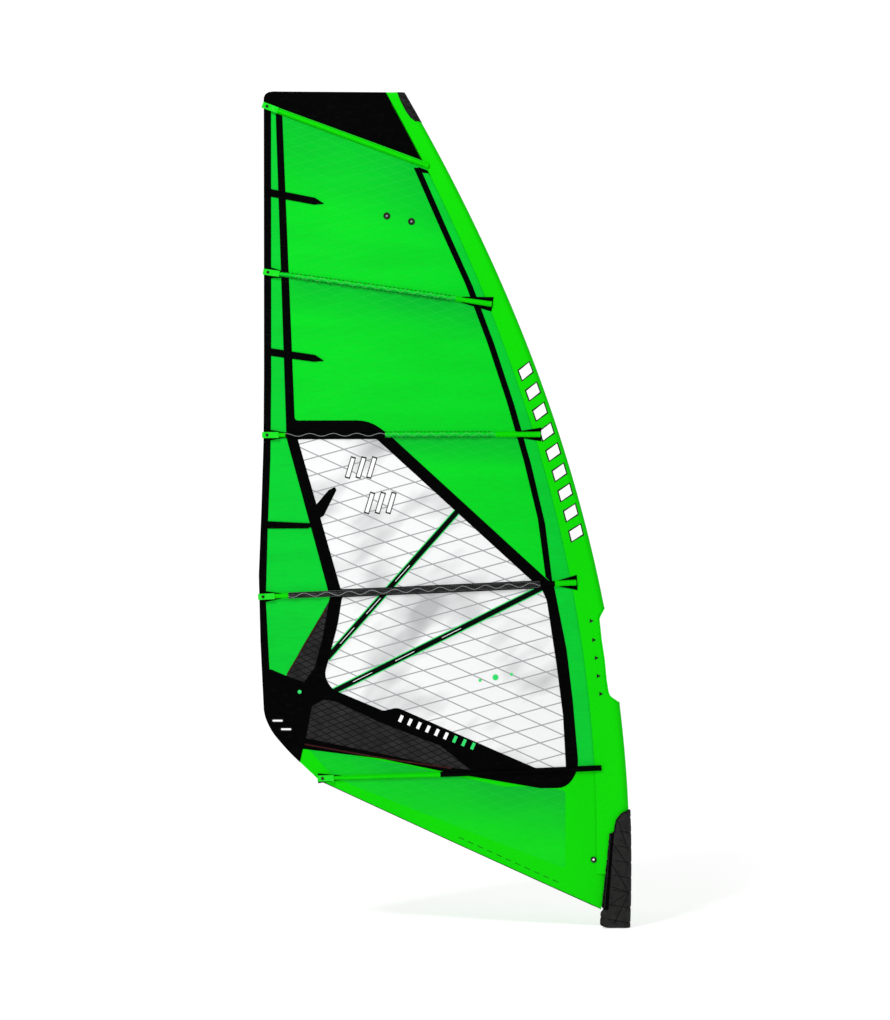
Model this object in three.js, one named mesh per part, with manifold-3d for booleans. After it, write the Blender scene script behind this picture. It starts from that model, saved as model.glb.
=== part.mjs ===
// A windsurf wave sail in its rigged shape: cambered cloth panels, a window of scrim film in a dark
// frame, an open mast sleeve with a boom cut-out, five batten pockets whose battens are tightened by
// screws at the leech, a tack pulley block and a padded tack fairing that opens.
//
// Frame: millimetres, +Z up the mast, +X forward to the luff, -Y the face that is looked at.
// The origin is the centre of the mast opening at the foot of the fairing.
import * as THREE from "three";
import { mergeVertices } from "three/addons/utils/BufferGeometryUtils.js";
import Module from "manifold-3d";

const wasm = await Module();
wasm.setup();

// ---- driving dimensions ----
const HEIGHT = 3904; // foot of the fairing to the head
const MAST_RAKE = 180; // forward lean of the mast line at the head, before its bend
const MAST_BEND = 1222; // how far the bend draws the head aft
const LEECH_X = -1672; // the straight part of the leech
const LEECH_BULGE = 26; // the leech stands out by this much at the clew batten
const LEECH_BULGE_Z = 1546;
const FOOT_RISE = -0.4566; // slope of the foot
const FOOT_Z = 42; // height at which the foot line would cross x = 0

const FULL_DEPTH = 72; // camber of the cloth at its fullest
const FLAT_DEPTH = 10; // camber at the foot and the head
const TWIST = 40; // fall-off of the leech at the head

const CLOTH_HALF = 0.7; // half of the cloth's thickness
const SEAM_GAP = 0.4; // between neighbouring panels
const TAIL_GAP = 2.2; // between the cloth and the sleeve's tail seam
const TRIM_NEAR = 1.05; // trim lies on the cloth between these two distances from its middle
const TRIM_FAR = 1.75;
const CLOTH_COLUMNS = 12;
const CLOTH_ROWS = 15;

const SLEEVE_FOOT_R = 30.5; // outside of the sleeve, round the mast
const SLEEVE_HEAD_R = 21;
const SLEEVE_WALL = 1.6;
const SLEEVE_FOOT_Z = 250;
const SEAM_BACK_FOOT = 129; // the sleeve's tail seam lies this far behind the mast line
const SEAM_BACK_HEAD = 58;
const SEAM_HALF = 1.4; // half of the seam's thickness
const HEAD_PATCH_Z = 3774;
const SLEEVE_SPLIT_Z = 1270; // the seam across the sleeve, inside the boom cut-out

const PAD_OUTER_R = 39; // the padded fairing at the foot
const PAD_INNER_R = 32.4;
const PAD_TOP_Z = 556;
const PAD_SIDE = 34; // half of its width behind the mast

const POCKET_HALF_WIDTH = 17.5;
const POCKET_HALF_DEPTH = 7.2;
const POCKET_WALL = 1.3;
const POCKET_LIFT = 10.2; // from the middle of the cloth to the batten's axis
const BATTEN_R = 4.2;

// Tensioner, along its own axis from the leech inwards.
const CAP_LENGTH = 74;
const CAP_OVERHANG = 3;
const CAP_HALF_WIDTH = 14;
const CAP_HALF_DEPTH = 7.6;
const SHOULDER_NEAR = 6;
const SHOULDER_FAR = 10;
const CUP_START = 22;
const CUP_LENGTH = 44;
const CUP_WEB = 28; // from the cup's start to the web that the batten's end bears on
const CUP_R = 5.9;
const SCREW_R = 2.4;
const SCREW_END = 35;

const PULLEY_X = -62;
const PULLEY_PIVOT_Z = 203;
const SHEAVE_Z = 165;
const SHEAVE_R = 15.5;
const SHEAVE_WIDTH = 8.6;
const SHEAVE_GAP = 0.45;
const CHEEK = 2.2;

// Each batten runs from the leech to the sleeve: [x, z] of its two ends.
const BATTENS = [
  { leech: [-1677, 3841], front: [-908, 3560] },
  { leech: [-1674, 3064], front: [-612, 2914] },
  { leech: [-1679, 2302], front: [-385, 2305] },
  { leech: [-1698, 1546], front: [-217, 1613] },
  { leech: [-1420, 698], front: [-100, 747] },
];

const finish = (color, roughness, metalness = 0) =>
  new THREE.MeshStandardMaterial({ color, roughness, metalness });
const GREEN = finish(0x14dc00, 0.5);
const PANEL_GREEN = finish(0x00dc28, 0.45);
const BLACK = finish(0x080808, 0.55);
const GRID_FILM = finish(0x2d2d32, 0.45);
const WINDOW_FILM = finish(0xf0f2f4, 0.2);
const PAD = finish(0x2d2d2f, 0.85);
const PLASTIC = finish(0x141414, 0.5);
const STEEL = finish(0xb8babd, 0.3, 1);
const GLASS_ROD = finish(0xd8d4bc, 0.4);
const NYLON = finish(0xe4e4de, 0.5);
const EYELET = finish(0x3c3e42, 0.35, 0.8);

const sail = new THREE.Group();

// ---- the sail's lines ----
const clamp = (value) => Math.min(1, Math.max(0, value));
const mix = (a, b, share) => a + (b - a) * share;
const mastX = (z) => MAST_RAKE * (z / HEIGHT) - MAST_BEND * (z / HEIGHT) ** 2;
const mastSlope = (z) => (MAST_RAKE - 2 * MAST_BEND * (z / HEIGHT)) / HEIGHT;
const sleeveR = (z) => mix(SLEEVE_FOOT_R, SLEEVE_HEAD_R, z / HEIGHT);
const seamX = (z) => mastX(z) - mix(SEAM_BACK_FOOT, SEAM_BACK_HEAD, z / HEIGHT);

function leechX(z) {
  const reach = z < LEECH_BULGE_Z ? 330 : 480;
  return LEECH_X - LEECH_BULGE * Math.exp(-(((z - LEECH_BULGE_Z) / reach) ** 2));
}

// Height of batten k's line at x.
function battenZ(k, x) {
  const { leech, front } = BATTENS[k];
  return mix(leech[1], front[1], (x - leech[0]) / (front[0] - leech[0]));
}

// The cambered surface: y of the middle of the cloth.
function sailY(x, z) {
  const up = clamp(z / HEIGHT);
  const back = clamp((mastX(z) - x) / (mastX(z) - leechX(z)));
  const depth = mix(FLAT_DEPTH, FULL_DEPTH, Math.sin(Math.PI * up ** 0.85));
  return -depth * 5.38 * back * (1 - back) ** 1.5 - TWIST * up ** 2 * back ** 2;
}

// y of the sleeve's face on one side: side is -1 or +1.
function sleeveFaceY(x, z, side) {
  const share = clamp((x - seamX(z)) / (mastX(z) - seamX(z)));
  return mix(sailY(seamX(z), z), 0, share) + side * mix(SEAM_HALF, sleeveR(z) + 2, share);
}

// ---- solids ----
function solid(geometry) {
  const bare = geometry.index ? geometry.toNonIndexed() : geometry.clone();
  bare.deleteAttribute("normal");
  bare.deleteAttribute("uv");
  const merged = mergeVertices(bare, 1e-4);
  const triVerts = new Uint32Array(merged.index.array);
  const vertProperties = merged.attributes.position.array;
  return new wasm.Manifold(new wasm.Mesh({ numProp: 3, vertProperties, triVerts }));
}

function geometryOf(manifold) {
  const mesh = manifold.getMesh();
  const geometry = new THREE.BufferGeometry();
  geometry.setAttribute("position", new THREE.BufferAttribute(mesh.vertProperties, 3));
  geometry.setIndex(new THREE.BufferAttribute(mesh.triVerts, 1));
  const flat = geometry.toNonIndexed();
  flat.computeVertexNormals();
  return flat;
}

function add(name, shape, material, parent = sail) {
  const geometry = shape instanceof THREE.BufferGeometry ? shape : geometryOf(shape);
  const mesh = new THREE.Mesh(geometry, material);
  mesh.name = name;
  parent.add(mesh);
  return mesh;
}

// A body from a grid of points on its front and the same grid on its back. A wrapped grid closes on
// itself round its columns, as a tube does.
function gridBody(front, back, wrapped = false) {
  const rows = front.length;
  const columns = front[0].length;
  const positions = [...front.flat(), ...back.flat()].flat();
  const at = (side, row, column) => side * rows * columns + row * columns + (column % columns);
  const index = [];
  const quad = (a, b, c, d) => index.push(a, b, c, a, c, d);
  const spans = wrapped ? columns : columns - 1;
  for (let r = 0; r < rows - 1; r++) {
    for (let c = 0; c < spans; c++) {
      quad(at(0, r, c), at(0, r, c + 1), at(0, r + 1, c + 1), at(0, r + 1, c));
      quad(at(1, r, c), at(1, r + 1, c), at(1, r + 1, c + 1), at(1, r, c + 1));
    }
    if (wrapped) continue;
    const last = columns - 1;
    quad(at(0, r, 0), at(0, r + 1, 0), at(1, r + 1, 0), at(1, r, 0));
    quad(at(0, r, last), at(1, r, last), at(1, r + 1, last), at(0, r + 1, last));
  }
  for (let c = 0; c < spans; c++) {
    const top = rows - 1;
    quad(at(0, 0, c), at(1, 0, c), at(1, 0, c + 1), at(0, 0, c + 1));
    quad(at(0, top, c), at(0, top, c + 1), at(1, top, c + 1), at(1, top, c));
  }
  return solid(outward(positions, index));
}

// A body through rings of points, closed by flat ends.
function ringBody(rings) {
  const count = rings[0].length;
  const positions = rings.flat().flat();
  const index = [];
  for (let r = 0; r < rings.length - 1; r++) {
    for (let c = 0; c < count; c++) {
      const next = (c + 1) % count;
      const a = r * count + c;
      const b = r * count + next;
      index.push(a, b, b + count, a, b + count, a + count);
    }
  }
  const end = (rings.length - 1) * count;
  for (let c = 1; c < count - 1; c++) {
    index.push(0, c + 1, c);
    index.push(end, end + c, end + c + 1);
  }
  return solid(outward(positions, index));
}

// An indexed geometry with its faces turned outwards.
function outward(positions, index) {
  const corner = (i) => new THREE.Vector3().fromArray(positions, 3 * index[i]);
  let volume = 0;
  for (let i = 0; i < index.length; i += 3) {
    volume += corner(i).dot(corner(i + 1).cross(corner(i + 2)));
  }
  const geometry = new THREE.BufferGeometry();
  geometry.setAttribute("position", new THREE.Float32BufferAttribute(positions, 3));
  geometry.setIndex(volume < 0 ? [...index].reverse() : index);
  return geometry;
}

// A closed outline in the X-Z plane. Each corner is [x, z] or [x, z, radius].
function outline(corners) {
  const count = corners.length;
  const path = new THREE.Path();
  corners.forEach(([x, z, radius = 0], i) => {
    const here = new THREE.Vector2(x, z);
    const toward = (k) => {
      const other = new THREE.Vector2(corners[k][0], corners[k][1]);
      return here.clone().add(other.sub(here).setLength(radius));
    };
    const enter = radius ? toward((i + count - 1) % count) : here;
    if (i === 0) path.moveTo(enter.x, enter.y);
    else path.lineTo(enter.x, enter.y);
    if (!radius) return;
    const leave = toward((i + 1) % count);
    path.quadraticCurveTo(here.x, here.y, leave.x, leave.y);
  });
  const points = path.getPoints(4);
  if (THREE.ShapeUtils.area(points) < 0) points.reverse();
  return points;
}

// The outline moved outwards by a distance.
function grow(points, distance) {
  const count = points.length;
  return points.map((here, i) => {
    const before = here.clone().sub(points[(i + count - 1) % count]).normalize();
    const after = points[(i + 1) % count].clone().sub(here).normalize();
    const normal = new THREE.Vector2(before.y + after.y, -before.x - after.x);
    const reach = distance / Math.max(0.25, 1 + before.dot(after));
    return here.clone().addScaledVector(normal, reach);
  });
}

// The outline as a bar along Y, through the whole sail.
function bar(points, from = -300, to = 300) {
  const shape = new THREE.Shape(points);
  const geometry = new THREE.ExtrudeGeometry(shape, { depth: to - from, bevelEnabled: false });
  geometry.rotateX(Math.PI / 2).translate(0, to, 0);
  return solid(geometry);
}

const along = (xOf, from, to, steps) =>
  Array.from({ length: steps + 1 }, (_, i) => {
    const z = mix(from, to, i / steps);
    return [xOf(z), z];
  });

// ---- cloth ----
// The whole cambered cloth between two distances from its middle, before it is cut to its outline.
function clothBetween(near, far) {
  const row = (z, offset) =>
    Array.from({ length: CLOTH_COLUMNS + 1 }, (_, c) => {
      const x = mix(leechX(z) - 40, mastX(z) + 10, c / CLOTH_COLUMNS);
      return [x, sailY(x, z) + offset, z];
    });
  const levels = Array.from({ length: CLOTH_ROWS + 1 }, (_, r) => mix(-10, 3960, r / CLOTH_ROWS));
  return gridBody(
    levels.map((z) => row(z, near)),
    levels.map((z) => row(z, far)),
  );
}

const footZ = (x) => FOOT_Z + FOOT_RISE * x;
const sailOutline = outline([
  [seamX(98) - TAIL_GAP, footZ(seamX(98))],
  [-1410, footZ(-1410), 30],
  [-1560, 825, 60],
  [-1640, 920, 40],
  [-1668, 985, 20],
  ...along(leechX, 1020, 3840, 9),
  [-1678, HEIGHT, 48],
  ...along((z) => seamX(z) - TAIL_GAP, HEIGHT, 240, 15),
]);

const cloth = clothBetween(-CLOTH_HALF, CLOTH_HALF).intersect(bar(sailOutline));
const trimLayer = clothBetween(-TRIM_FAR, -TRIM_NEAR).intersect(bar(sailOutline));
const taken = [];

// A panel is the cloth inside its outline, less the panels cut before it. Panels with pieces
// passing through them name the holes.
function panel(name, corners, material, holes = []) {
  const points = outline(corners);
  let body = cloth.intersect(bar(points));
  for (const other of taken) body = body.subtract(other);
  for (const hole of holes) body = body.subtract(hole);
  taken.push(bar(grow(points, SEAM_GAP)));
  add(name, body, material);
}

function trim(name, corners, material) {
  add(name, trimLayer.intersect(bar(outline(corners))), material);
}

function windows() {
  const upperFoot = (x) => battenZ(3, x) + POCKET_HALF_WIDTH;
  const lowerTop = (x) => battenZ(3, x) - POCKET_HALF_WIDTH;
  panel(
    "window_upper",
    [
      [-1518, 2284, 10],
      [-1146, 2284, 10],
      [-420, upperFoot(-420), 10],
      [-1316, upperFoot(-1316), 10],
    ],
    WINDOW_FILM,
  );
  panel(
    "window_lower",
    [
      [-1310, lowerTop(-1310), 10],
      [-378, lowerTop(-378), 12],
      [-352, 1532, 20],
      [-306, 1228],
      [-276, 995],
      [-262, 747, 14],
      [-406, 747, 10],
      [-1051, 1029, 20],
      [-1116, 1013, 10],
      [-1359, 1114, 30],
      [-1394, 1178, 30],
      [-1331, 1415, 40],
    ],
    WINDOW_FILM,
  );
}

function gridFilm() {
  panel(
    "clew_gusset",
    [
      [-1366, 1535],
      [-1401, 1345],
      [-1436, 1216],
      [-1486, 1148],
      [-1571, 1178],
    ],
    GRID_FILM,
  );
  panel(
    "foot_strip",
    [
      [-1480, 884],
      [-1452, 1037, 12],
      [-1392, 1069, 12],
      [-1336, 1058],
      [-1130, 962],
      [-850, 855],
      [-705, 738],
      [-827, 752],
    ],
    GRID_FILM,
  );
}

// The dark band round the window, with the stripe that runs up beside the leech.
function windowFrame() {
  panel(
    "window_frame",
    [
      [-1617, 3812],
      [-1590, 3802],
      [-1532, 2368, 20],
      [-1180, 2368, 60],
      [-1088, 2300, 20],
      [-353, 1627, 20],
      [-322, 1600],
      [-262, 1298],
      [-234, 1065],
      [-205, 740, 50],
      [-262, 656, 45],
      [-383, 656],
      [-827, 733],
      [-1130, 794],
      [-1540, 843],
      [-1540, 1128],
      [-1486, 1145],
      [-1436, 1214],
      [-1401, 1345],
      [-1364, 1546],
      [-1567, 2288],
    ],
    BLACK,
  );
}

// Distance of the luff stripe's middle behind the mast line.
function stripeX(z) {
  const back = z < 1900 ? mix(205, 176, (z - 1630) / 270) : mix(176, 128, (z - 1900) / 1200);
  return mastX(z) - Math.max(back, z > 3450 ? 112 : 130);
}

function greenPanels() {
  const outside = -1800;
  const STRIPE_HALF = 13;
  panel(
    "luff_stripe",
    [
      ...along((z) => stripeX(z) - STRIPE_HALF, 3549, 1640, 7),
      ...along((z) => stripeX(z) + STRIPE_HALF, 1610, 3549, 7),
    ],
    BLACK,
  );
  panel(
    "leech_panel",
    [
      [outside, battenZ(0, outside)],
      [-1603, battenZ(0, -1603)],
      [-1549, 2330],
      [-1350, 1570],
      [-1382, 1495],
      [-1530, 1180],
      [outside, 1180],
    ],
    PANEL_GREEN,
  );
  panel(
    "luff_panel",
    [
      [-956, battenZ(0, -956)],
      ...along(stripeX, 3540, 1640, 7),
      [-300, 1330],
      [-262, 1065],
      [-236, battenZ(4, -236)],
      [100, battenZ(4, 100)],
      [100, battenZ(0, -900)],
    ],
    PANEL_GREEN,
  );
  const between = (name, top, foot) =>
    panel(
      name,
      [
        [outside, battenZ(top, outside)],
        [0, battenZ(top, 0)],
        [0, battenZ(foot, 0)],
        [outside, battenZ(foot, outside)],
      ],
      PANEL_GREEN,
    );
  between("top_panel", 0, 1);
  between("upper_panel", 1, 2);
  between("mid_panel", 2, 3);
}

function edgePanels() {
  const outside = -1800;
  panel(
    "leech_tape",
    [...along((z) => leechX(z) + 30, 3835, 1203, 8), [outside, 1203], [outside, 3882]],
    BLACK,
  );
  const [slotA, slotB] = CLEW_EYELETS.map((eyelet) => eyeletHole(eyelet));
  panel(
    "clew_patch",
    [
      [outside, 1205],
      [-1642, 1205],
      [-1571, 1175],
      [-1488, 1146],
      [-1478, 1037],
      [-1490, 852],
      [-1530, 680],
      [outside, 680],
    ],
    BLACK,
    [slotA, slotB],
  );
}

// ---- eyelets ----
const TACK_EYELET = { x: -134, z: 318, half: 0, bore: 5.5, flange: 14 };
const CLEW_EYELETS = [
  { x: -1611, z: 967, half: 20, bore: 4.4, flange: 10 },
  { x: -1571, z: 927, half: 20, bore: 4.4, flange: 10 },
];
const EYELET_WALL = 2.6;
const EYELET_HALF = 4.2;
const EYELET_FLANGE = 1.3;

// A slot with round ends, drawn in its own X-Y plane; half is half the length of its straight.
function slotShape(half, radius) {
  const shape = new THREE.Shape();
  shape.absarc(half, 0, radius, -Math.PI / 2, Math.PI / 2);
  shape.absarc(-half, 0, radius, Math.PI / 2, (3 * Math.PI) / 2);
  return shape;
}

function slotBar(half, radius, from, to) {
  const settings = { depth: to - from, bevelEnabled: false, curveSegments: 5 };
  return solid(new THREE.ExtrudeGeometry(slotShape(half, radius), settings).translate(0, 0, from));
}

// Where an eyelet lies: its own Z axis stands on the cloth, towards -Y.
function eyeletPlace({ x, z }) {
  const step = 5;
  const tangent = new THREE.Vector3(2 * step, sailY(x + step, z) - sailY(x - step, z), 0);
  const rise = new THREE.Vector3(0, sailY(x, z + step) - sailY(x, z - step), 2 * step);
  const normal = tangent.clone().cross(rise).normalize();
  const side = tangent.normalize();
  const up = normal.clone().cross(side);
  return new THREE.Matrix4().makeBasis(side, up, normal).setPosition(x, sailY(x, z), z);
}

function eyeletHole(eyelet) {
  const hole = slotBar(eyelet.half, eyelet.bore + EYELET_WALL + 0.4, -20, 20);
  return hole.transform(eyeletPlace(eyelet).elements);
}

function addEyelet(name, eyelet, material) {
  const { half, bore, flange } = eyelet;
  const hub = slotBar(half, bore + EYELET_WALL, -EYELET_HALF, EYELET_HALF);
  const front = slotBar(half, flange, EYELET_HALF - EYELET_FLANGE, EYELET_HALF);
  const back = slotBar(half, flange, -EYELET_HALF, EYELET_FLANGE - EYELET_HALF);
  const body = hub.add(front).add(back).subtract(slotBar(half, bore, -20, 20));
  add(name, body, material).applyMatrix4(eyeletPlace(eyelet));
}

// ---- mast sleeve ----
// The sleeve's section at height z: round the mast in front, drawn in to the tail seam behind.
function sleeveRing(z, radius, tailShare, tailHalf) {
  const lean = Math.hypot(1, mastSlope(z));
  const tail = new THREE.Vector2((seamX(z) - mastX(z)) / lean, sailY(seamX(z), z));
  tail.multiplyScalar(tailShare);
  const aim = Math.atan2(tail.y, tail.x);
  const open = Math.acos(radius / tail.length());
  const steps = 9;
  const ring = [];
  for (let i = 0; i <= steps; i++) {
    const angle = aim + open + ((2 * Math.PI - 2 * open) * i) / steps;
    ring.push([radius * Math.cos(angle), radius * Math.sin(angle)]);
  }
  const across = new THREE.Vector2(-Math.sin(aim), Math.cos(aim)).multiplyScalar(tailHalf);
  ring.push([tail.x - across.x, tail.y - across.y], [tail.x + across.x, tail.y + across.y]);
  return ring.map(([x, y]) => [mastX(z) + x * lean, y, z]);
}

const sleeveOuter = (z) => sleeveRing(z, sleeveR(z), 1, SEAM_HALF);
const sleeveInner = (z) => sleeveRing(z, sleeveR(z) - SLEEVE_WALL, 0.86, 0.5);

function sleeve() {
  const rings = 15;
  const level = (i) => mix(SLEEVE_FOOT_Z, HEAD_PATCH_Z, i / rings);
  const levels = Array.from({ length: rings + 1 }, (_, i) => level(i));
  const tube = gridBody(levels.map(sleeveOuter), levels.map(sleeveInner), true);
  const cutOut = outline([
    [-40, 1575],
    [-109, 1447, 30],
    [-98, 1345],
    [-84, 1252],
    [-75, 1158],
    [-61, 1072, 24],
    [120, 976],
    [120, 1575],
  ]);
  const open = tube.subtract(bar(cutOut));
  const half = SEAM_GAP / 2;
  const above = bar(outline(box(-1300, SLEEVE_SPLIT_Z + half, 200, HEIGHT)));
  const below = bar(outline(box(-400, 0, 200, SLEEVE_SPLIT_Z - half)));
  add("sleeve_upper", open.intersect(above), GREEN);
  add("sleeve_lower", open.intersect(below), GREEN);
}

const box = (x0, z0, x1, z1) => [
  [x0, z0],
  [x1, z0],
  [x1, z1],
  [x0, z1],
];

// The stiff patch that closes the sleeve at the head.
function headPatch() {
  const levels = [HEAD_PATCH_Z + SEAM_GAP, 3840, HEIGHT];
  const hollow = [HEAD_PATCH_Z - 20, 3840, HEIGHT - 6];
  const inside = ringBody(hollow.map(sleeveInner));
  add("head_patch", ringBody(levels.map(sleeveOuter)).subtract(inside), GRID_FILM);
}

// ---- tack fairing ----
const padRearX = (z) => Math.max(-103.5, -108.4 + 0.1 * z);

// One half of the fairing, on side -1 or +1: from the nose round the mast to the rear edge.
function padHalf(name, side, material) {
  const lip = (z) => {
    const onPlate = sailY(padRearX(z), z) + side * 5.6;
    const onSleeve = sleeveFaceY(padRearX(z) + 8, z, side) + side * 1.2;
    return side * Math.max(side * onPlate, side * mix(onPlate, onSleeve, clamp((z - 200) / 50)));
  };
  const arc = (radius, z) =>
    [0, 20, 40, 60, 80].map((degrees) => {
      const angle = (degrees * Math.PI) / 180;
      const y = Math.max(0.4, radius * Math.sin(angle));
      return [mastX(z) + radius * Math.cos(angle), side * y, z];
    });
  const outer = (z) => [
    ...arc(PAD_OUTER_R, z),
    [padRearX(z) + 26, side * PAD_SIDE, z],
    [padRearX(z) + 9, side * (PAD_SIDE - 3), z],
    [padRearX(z) + 1, lip(z) + side * 6, z],
    [padRearX(z), lip(z), z],
  ];
  const inner = (z) => [
    ...arc(PAD_INNER_R, z),
    [padRearX(z) + 26, side * (PAD_SIDE - 6.4), z],
    [padRearX(z) + 13, side * (PAD_SIDE - 8.5), z],
    [padRearX(z) + 7, lip(z) + side * 3, z],
    [padRearX(z) + 6.5, lip(z), z],
  ];
  const levels = [0, 60, 130, 200, 250, 330, 410, 480, PAD_TOP_Z];
  const edge = outline([
    [80, 0],
    [-79, 0, 6],
    [-110, 14],
    [-110, 61],
    [-88, 84, 4],
    [-110, 112],
    [-110, 440],
    [-45, 446, 8],
    [-34, 504, 20],
    [-9, 539, 16],
    [28, 552],
    [80, 556],
  ]);
  add(name, gridBody(levels.map(outer), levels.map(inner)).intersect(bar(edge)), material);
}

// ---- tack pulley ----
const pulleyY = sailY(PULLEY_X, SHEAVE_Z);

// A round bar along X or Y through a point.
function round(radius, length, axis, [x, y, z]) {
  const geometry = new THREE.CylinderGeometry(radius, radius, length, 16);
  if (axis === "x") geometry.rotateZ(Math.PI / 2);
  return solid(geometry.translate(x, y, z));
}

const block = (size, centre) => solid(new THREE.BoxGeometry(...size).translate(...centre));

function tackPlate() {
  const half = 2.5;
  const edge = outline([
    [seamX(106) + 0.5, 106],
    [seamX(246) + 0.5, 246],
    [-34, 246, 4],
    [-34, 213, 6],
    [-86, 213, 20],
    [-104, 112, 6],
  ]);
  add("tack_plate", bar(edge, pulleyY - half, pulleyY + half), BLACK);
}

// Webbing that hangs round the pulley's top bar and is sewn to both sides of the tack plate.
function pulleyStrap() {
  const inside = 3.2;
  const outside = 4.8;
  const top = 243 - PULLEY_PIVOT_Z;
  const shape = new THREE.Shape();
  shape.moveTo(-outside, top);
  shape.lineTo(-outside, 0);
  shape.absarc(0, 0, outside, Math.PI, 2 * Math.PI);
  shape.lineTo(outside, top);
  shape.lineTo(inside, top);
  shape.lineTo(inside, 0);
  shape.absarc(0, 0, inside, 0, -Math.PI, true);
  shape.lineTo(-inside, top);
  const width = 24;
  const geometry = new THREE.ExtrudeGeometry(shape, {
    depth: width,
    bevelEnabled: false,
    curveSegments: 8,
  });
  geometry.rotateX(Math.PI / 2).rotateZ(Math.PI / 2);
  geometry.translate(PULLEY_X - width / 2, pulleyY, PULLEY_PIVOT_Z);
  add("pulley_strap", geometry, BLACK);
}

function pulleyBlock() {
  const inner = (3 * SHEAVE_WIDTH) / 2 + 2 * SHEAVE_GAP;
  const top = 190;
  const cheekOutline = outline([
    [PULLEY_X - 13, top, 2],
    [PULLEY_X - 13, SHEAVE_Z - 8, 6],
    [PULLEY_X, SHEAVE_Z - 16, 6],
    [PULLEY_X + 13, SHEAVE_Z - 8, 6],
    [PULLEY_X + 13, top, 2],
  ]);
  const width = 2 * (inner + CHEEK);
  let frame = block([28, width, CHEEK], [PULLEY_X, pulleyY, top + CHEEK / 2 - 0.6]);
  for (const side of [-1, 1]) {
    const near = pulleyY + side * inner;
    const far = near + side * CHEEK;
    frame = frame.add(bar(cheekOutline, Math.min(near, far), Math.max(near, far)));
    const height = PULLEY_PIVOT_Z + 4 - top;
    const post = [PULLEY_X + side * 15, pulleyY, top + height / 2];
    frame = frame.add(block([4, 8, height], post));
  }
  frame = frame.add(round(2.4, 30, "x", [PULLEY_X, pulleyY, PULLEY_PIVOT_Z]));
  frame = frame.subtract(round(4.35, width + 10, "y", [PULLEY_X, pulleyY, SHEAVE_Z]));
  add("pulley_frame", frame, STEEL);

  const shank = inner + CHEEK + 0.4;
  const head = shank + 1.4;
  const pin = lathe([
    [0, -head],
    [6.2, -head],
    [6.2, -shank],
    [4, -shank],
    [4, shank],
    [6.2, shank],
    [6.2, head],
    [0, head],
  ]);
  add("pulley_pin", pin, STEEL).position.set(PULLEY_X, pulleyY, SHEAVE_Z);

  [-1, 0, 1].forEach((place, i) => {
    const half = SHEAVE_WIDTH / 2;
    const sheave = lathe([
      [4.35, -half],
      [SHEAVE_R, -half],
      [SHEAVE_R, 1.6 - half],
      [SHEAVE_R - 4, 0],
      [SHEAVE_R, half - 1.6],
      [SHEAVE_R, half],
      [4.35, half],
      [4.35, -half],
    ]);
    const y = pulleyY + place * (SHEAVE_WIDTH + SHEAVE_GAP);
    add(`sheave_${i + 1}`, sheave, NYLON).position.set(PULLEY_X, y, SHEAVE_Z);
  });
}

// A turned piece round its own Y axis; each point is [radius, height].
function lathe(profile, segments = 16) {
  const points = profile.map(([r, y]) => new THREE.Vector2(r, y));
  return solid(new THREE.LatheGeometry(points, segments));
}

// ---- battens ----
// The batten's axis at a distance from the leech. It rides over the sleeve's tail at the luff.
function battenPoint(k, distance) {
  const { leech, front } = BATTENS[k];
  const length = Math.hypot(front[0] - leech[0], front[1] - leech[1]);
  const x = mix(leech[0], front[0], distance / length);
  const z = battenZ(k, x);
  const overSleeve = x > seamX(z) - 60;
  const face = overSleeve ? sleeveFaceY(Math.max(x, seamX(z)), z, -1) : 0;
  const lifted = face - POCKET_HALF_DEPTH - 2.4;
  return new THREE.Vector3(x, Math.min(sailY(x, z) - POCKET_LIFT, lifted), z);
}

function battenLength(k) {
  const { leech, front } = BATTENS[k];
  return Math.hypot(front[0] - leech[0], front[1] - leech[1]);
}

// Axes at a distance along batten k: along it, through the cloth, and up in the cloth.
function battenAxes(k, distance) {
  const { leech, front } = BATTENS[k];
  const slope = Math.atan2(front[1] - leech[1], front[0] - leech[0]);
  const ahead = battenPoint(k, distance + 20).sub(battenPoint(k, distance - 20)).normalize();
  const up = new THREE.Vector3(-Math.sin(slope), 0, Math.cos(slope));
  const through = up.cross(ahead).normalize();
  return { ahead, through, up: ahead.clone().cross(through) };
}

function ringAt(k, distance, section) {
  const centre = battenPoint(k, distance);
  const { through, up } = battenAxes(k, distance);
  return section.map(([y, z]) => {
    const point = centre.clone().addScaledVector(through, y).addScaledVector(up, z);
    return point.toArray();
  });
}

function pocketSection(halfDepth, halfWidth) {
  const corner = Math.min(3, halfDepth * 0.6);
  return [
    [halfDepth - corner, halfWidth],
    [halfDepth, halfWidth - corner],
    [halfDepth, corner - halfWidth],
    [halfDepth - corner, -halfWidth],
    [corner - halfDepth, -halfWidth],
    [-halfDepth, corner - halfWidth],
    [-halfDepth, halfWidth - corner],
    [corner - halfDepth, halfWidth],
  ];
}

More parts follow.
